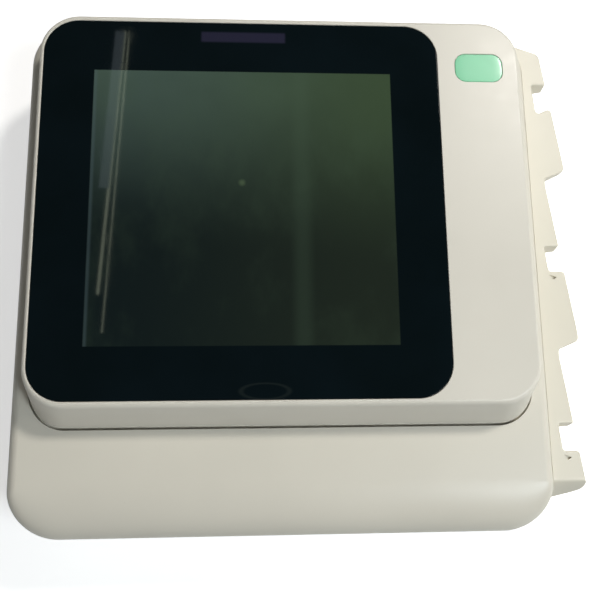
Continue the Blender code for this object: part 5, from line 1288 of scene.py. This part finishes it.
# Fine grooves round the platen's rubber
def cutSleeveGrooves(mesh):
    low, high = nodeBox("roller_sleeve")
    count = sleeveSizes["rings"]
    places = [low.x + (high.x - low.x) * (i + 0.5) / count for i in range(count)]
    ringGrooves(mesh, "roller_sleeve", "X", sleeveSizes["section"], places, 48)


finSizes = {"count": 24, "margin": 6, "half": 1.1, "deep": 5}


def cutHeadFins(mesh):
    sizes = finSizes
    low, high = nodeBox("print_head")
    for i in range(sizes["count"]):
        x = low.x + sizes["margin"] + i * (high.x - low.x - 2 * sizes["margin"]) / (sizes["count"] - 1)
        block(mesh, (x - sizes["half"], low.y - past, high.z - sizes["deep"]),
              (x + sizes["half"], high.y + past, high.z + past))


ventSizes = {"count": 14, "start": 40, "pitch": 5, "y": -14, "halves": (1, 16), "round": 0.99, "deep": 0.9}


# Vent slots in the lid's rear plate
def cutBackVents(mesh):
    sizes = ventSizes
    bottom = nodeBox("screen_back")[0].z
    slotRow(mesh, sizes, sizes["start"], sizes["y"], bottom - past, bottom + sizes["deep"])


def makeFinePieces():
    makeScrews()
    refine("drawer_button", "grey", "release_key", edge=0.5, add=ribReleaseKey)
    refine("battery_cover", "ivory", "base", edge=0.25, cut=grooveCover)
    refine("mains_inlet", "black", "base", edge=0.35)
    refine("network_port", "steel", "base", edge=0.2, cut=cutLatchNotch, add=addNetworkContacts)
    refine("usb_port", "steel", "base", edge=0.15, add=addDataSprings)
    refine("earth_post", "brass", "base", cut=cutPostThread)
    refine("roller_sleeve", "rubber", "roller", cut=cutSleeveGrooves)
    refine("print_head", "black", "base", edge=0.25, cut=cutHeadFins)
    refine("screen_back", "grey", "screen", cut=cutBackVents)
    for side in ("left", "right"):
        refine("hinge_bracket_" + side, "steel", "base", edge=0.4)
        refine("hinge_pin_" + side, "steel", "base")
        refine("hinge_leaf_" + side, "steel", "screen", edge=0.4)
        refine("drawer_rail_" + side, "steel", "base", edge=0.2)
    refine("recorder_frame", "steel", "base", edge=0.4)
    refine("feed_motor", "black", "base", edge=0.5)
    refine("paper_tray", "grey", "drawer", edge=0.4)
    refine("roller_gear", "gear", "roller", edge=0.08, degrees=25)
    refine("motor_pinion", "brass", "pinion", edge=0.08, degrees=25)
    refine("roller_shaft", "steel", "roller")


makeFinePieces()
print("Fine pieces made")


# Finishes of the pieces that stay as the frame has them

carried = {
    "steel": ("holder_screw_1", "holder_screw_2"),
    "black": ("speaker",),
    "rubber": ("screen_bumper_1", "screen_bumper_2"),
    "board": ("main_board", "display_board"),
    "paper": ("paper_pack",),
    "guide": ("alarm_light",),
    "pack": ("battery_pack",),
    "supply": ("power_supply",),
    "panel": ("lcd_panel",),
}
for finish, names in carried.items():
    for name in names:
        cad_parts[name].material_slots[0].material = paints[finish][0]
print("Carried pieces finished")


# Floor, lamps and camera

floorSizes = {"half": 2500, "glowGrows": (450, 1500), "glowNear": 0.56}


def makeFloor():
    paint = Paint("paleFloor", specular=0.1)
    tone = paint.mix(paint.noise(3, 3), rgb(238, 238, 238), rgb(244, 244, 244))
    paint.surface(colour=tone, roughness=0.9)
    # The floor's own glow for the camera grows outwards, so that it stays white where the lamps fade
    far = paint.step(paint.reach(*paint.axes()[:2]), *floorSizes["glowGrows"])
    white = rgb(255, 255, 255)
    glow = paint.mix(far, shaded(white, floorSizes["glowNear"]), white)
    glowing = paint.node("BsdfPrincipled", values={"Base Color": tone, "Roughness": 0.9,
                                                   "Emission Color": glow, "Emission Strength": 1.0})
    seen = paint.node("LightPath", output="Is Camera Ray")
    plain = Wire(paint, paint.shader.outputs[0])
    both = paint.node("MixShader", values={0: seen, 1: plain, 2: glowing})
    paint.tree.links.new(both.socket, paint.tree.nodes["Material Output"].inputs["Surface"])
    mesh = bmesh.new()
    bmesh.ops.create_grid(mesh, x_segments=8, y_segments=8, size=floorSizes["half"] * mm)
    data = bpy.data.meshes.new("floor")
    mesh.to_mesh(data)
    mesh.free()
    data.materials.append(paint.material)
    newObject("floor", data)


# Round lamps in metres: place, width, power, colour
lamps = {
    "rearKey": ((1.05, 1.15, 1.75), 0.35, 26, (1.0, 0.965, 0.91)),
    "overhead": ((0.95, -0.60, 1.65), 0.6, 16, (0.88, 0.96, 1.0)),
    "rightFill": ((1.5, -0.35, 0.9), 0.4, 2.5, (1.0, 0.97, 0.92)),
    "frontFill": ((0.3, -1.7, 1.75), 1.0, 2.2, (1.0, 0.88, 0.70)),
}
lampAim = (0, 0, 0.05)
# Long lamps that show only as pale streaks in the glass: near end, far end, width, power, colour
streaks = {
    "blueStreak": ((-0.4514, 0.589), (-0.422, 1.064), 0.027, 0.08, (0.75, 0.90, 1.0)),
    "brightStreak": ((-0.456, 0.290), (-0.4085, 1.064), 0.008, 0.13, (0.92, 1.0, 0.74)),
    "thinStreak": ((-0.441, 0.187), (-0.396, 1.064), 0.004, 0.075, (0.92, 1.0, 0.74)),
}
streakHeight = 1.6


def addLamp(name, shape, width, power, colour, place, turn):
    data = bpy.data.lights.new(name, "AREA")
    data.shape = shape
    data.size = width
    data.energy = power
    data.color = colour
    made = newObject(name, data)
    made.location = place
    made.rotation_euler = turn
    return made


def makeLamps():
    for name, (place, width, power, colour) in lamps.items():
        turn = (Vector(lampAim) - Vector(place)).to_track_quat("-Z", "Y").to_euler()
        addLamp(name, "DISK", width, power, colour, place, turn)
    for name, (near, far, width, power, colour) in streaks.items():
        run = Vector(far) - Vector(near)
        place = (*((Vector(near) + Vector(far)) / 2), streakHeight)
        made = addLamp(name, "RECTANGLE", width, power, colour, place, (0, 0, -math.atan2(run.x, run.y)))
        made.data.size_y = run.length
        made.visible_diffuse = False


# The room's dim fill, and the white that the camera sees
room = {"fill": (0.93, 0.97, 1.0, 1), "fillStrength": 0.10, "white": (1, 1, 1, 1), "whiteStrength": 1.0}


def makeWorld():
    world = bpy.data.worlds.new("room")
    world.use_nodes = True
    bpy.context.scene.world = world
    tree = world.node_tree
    fill = tree.nodes["Background"]
    fill.inputs["Color"].default_value = room["fill"]
    fill.inputs["Strength"].default_value = room["fillStrength"]
    white = tree.nodes.new("ShaderNodeBackground")
    white.inputs["Color"].default_value = room["white"]
    white.inputs["Strength"].default_value = room["whiteStrength"]
    seen = tree.nodes.new("ShaderNodeLightPath")
    mixed = tree.nodes.new("ShaderNodeMixShader")
    tree.links.new(seen.outputs["Is Camera Ray"], mixed.inputs[0])
    tree.links.new(fill.outputs[0], mixed.inputs[1])
    tree.links.new(white.outputs[0], mixed.inputs[2])
    tree.links.new(mixed.outputs[0], tree.nodes["World Output"].inputs["Surface"])


# The photo's viewpoint, fitted to the object's edges: metres, radians, and the lens in millimetres
cameraView = {
    "place": (-0.02981, -0.11930, 0.53555),
    "turn": (0.197733, -0.057455, -0.002188),
    "lens": 44.2214,
    "sensor": 36,
    "clip": 0.01,
}


def makeCamera():
    data = bpy.data.cameras.new("photoCamera")
    data.sensor_width = cameraView["sensor"]
    data.lens = cameraView["lens"]
    data.clip_start = cameraView["clip"]
    made = newObject("photoCamera", data)
    made.rotation_mode = "ZYX"
    made.rotation_euler = Euler(cameraView["turn"], "ZYX")
    made.location = cameraView["place"]
    bpy.context.scene.camera = made


makeFloor()
makeLamps()
makeWorld()
makeCamera()
bpy.context.scene.view_settings.view_transform = "Standard"
print("Stage made")
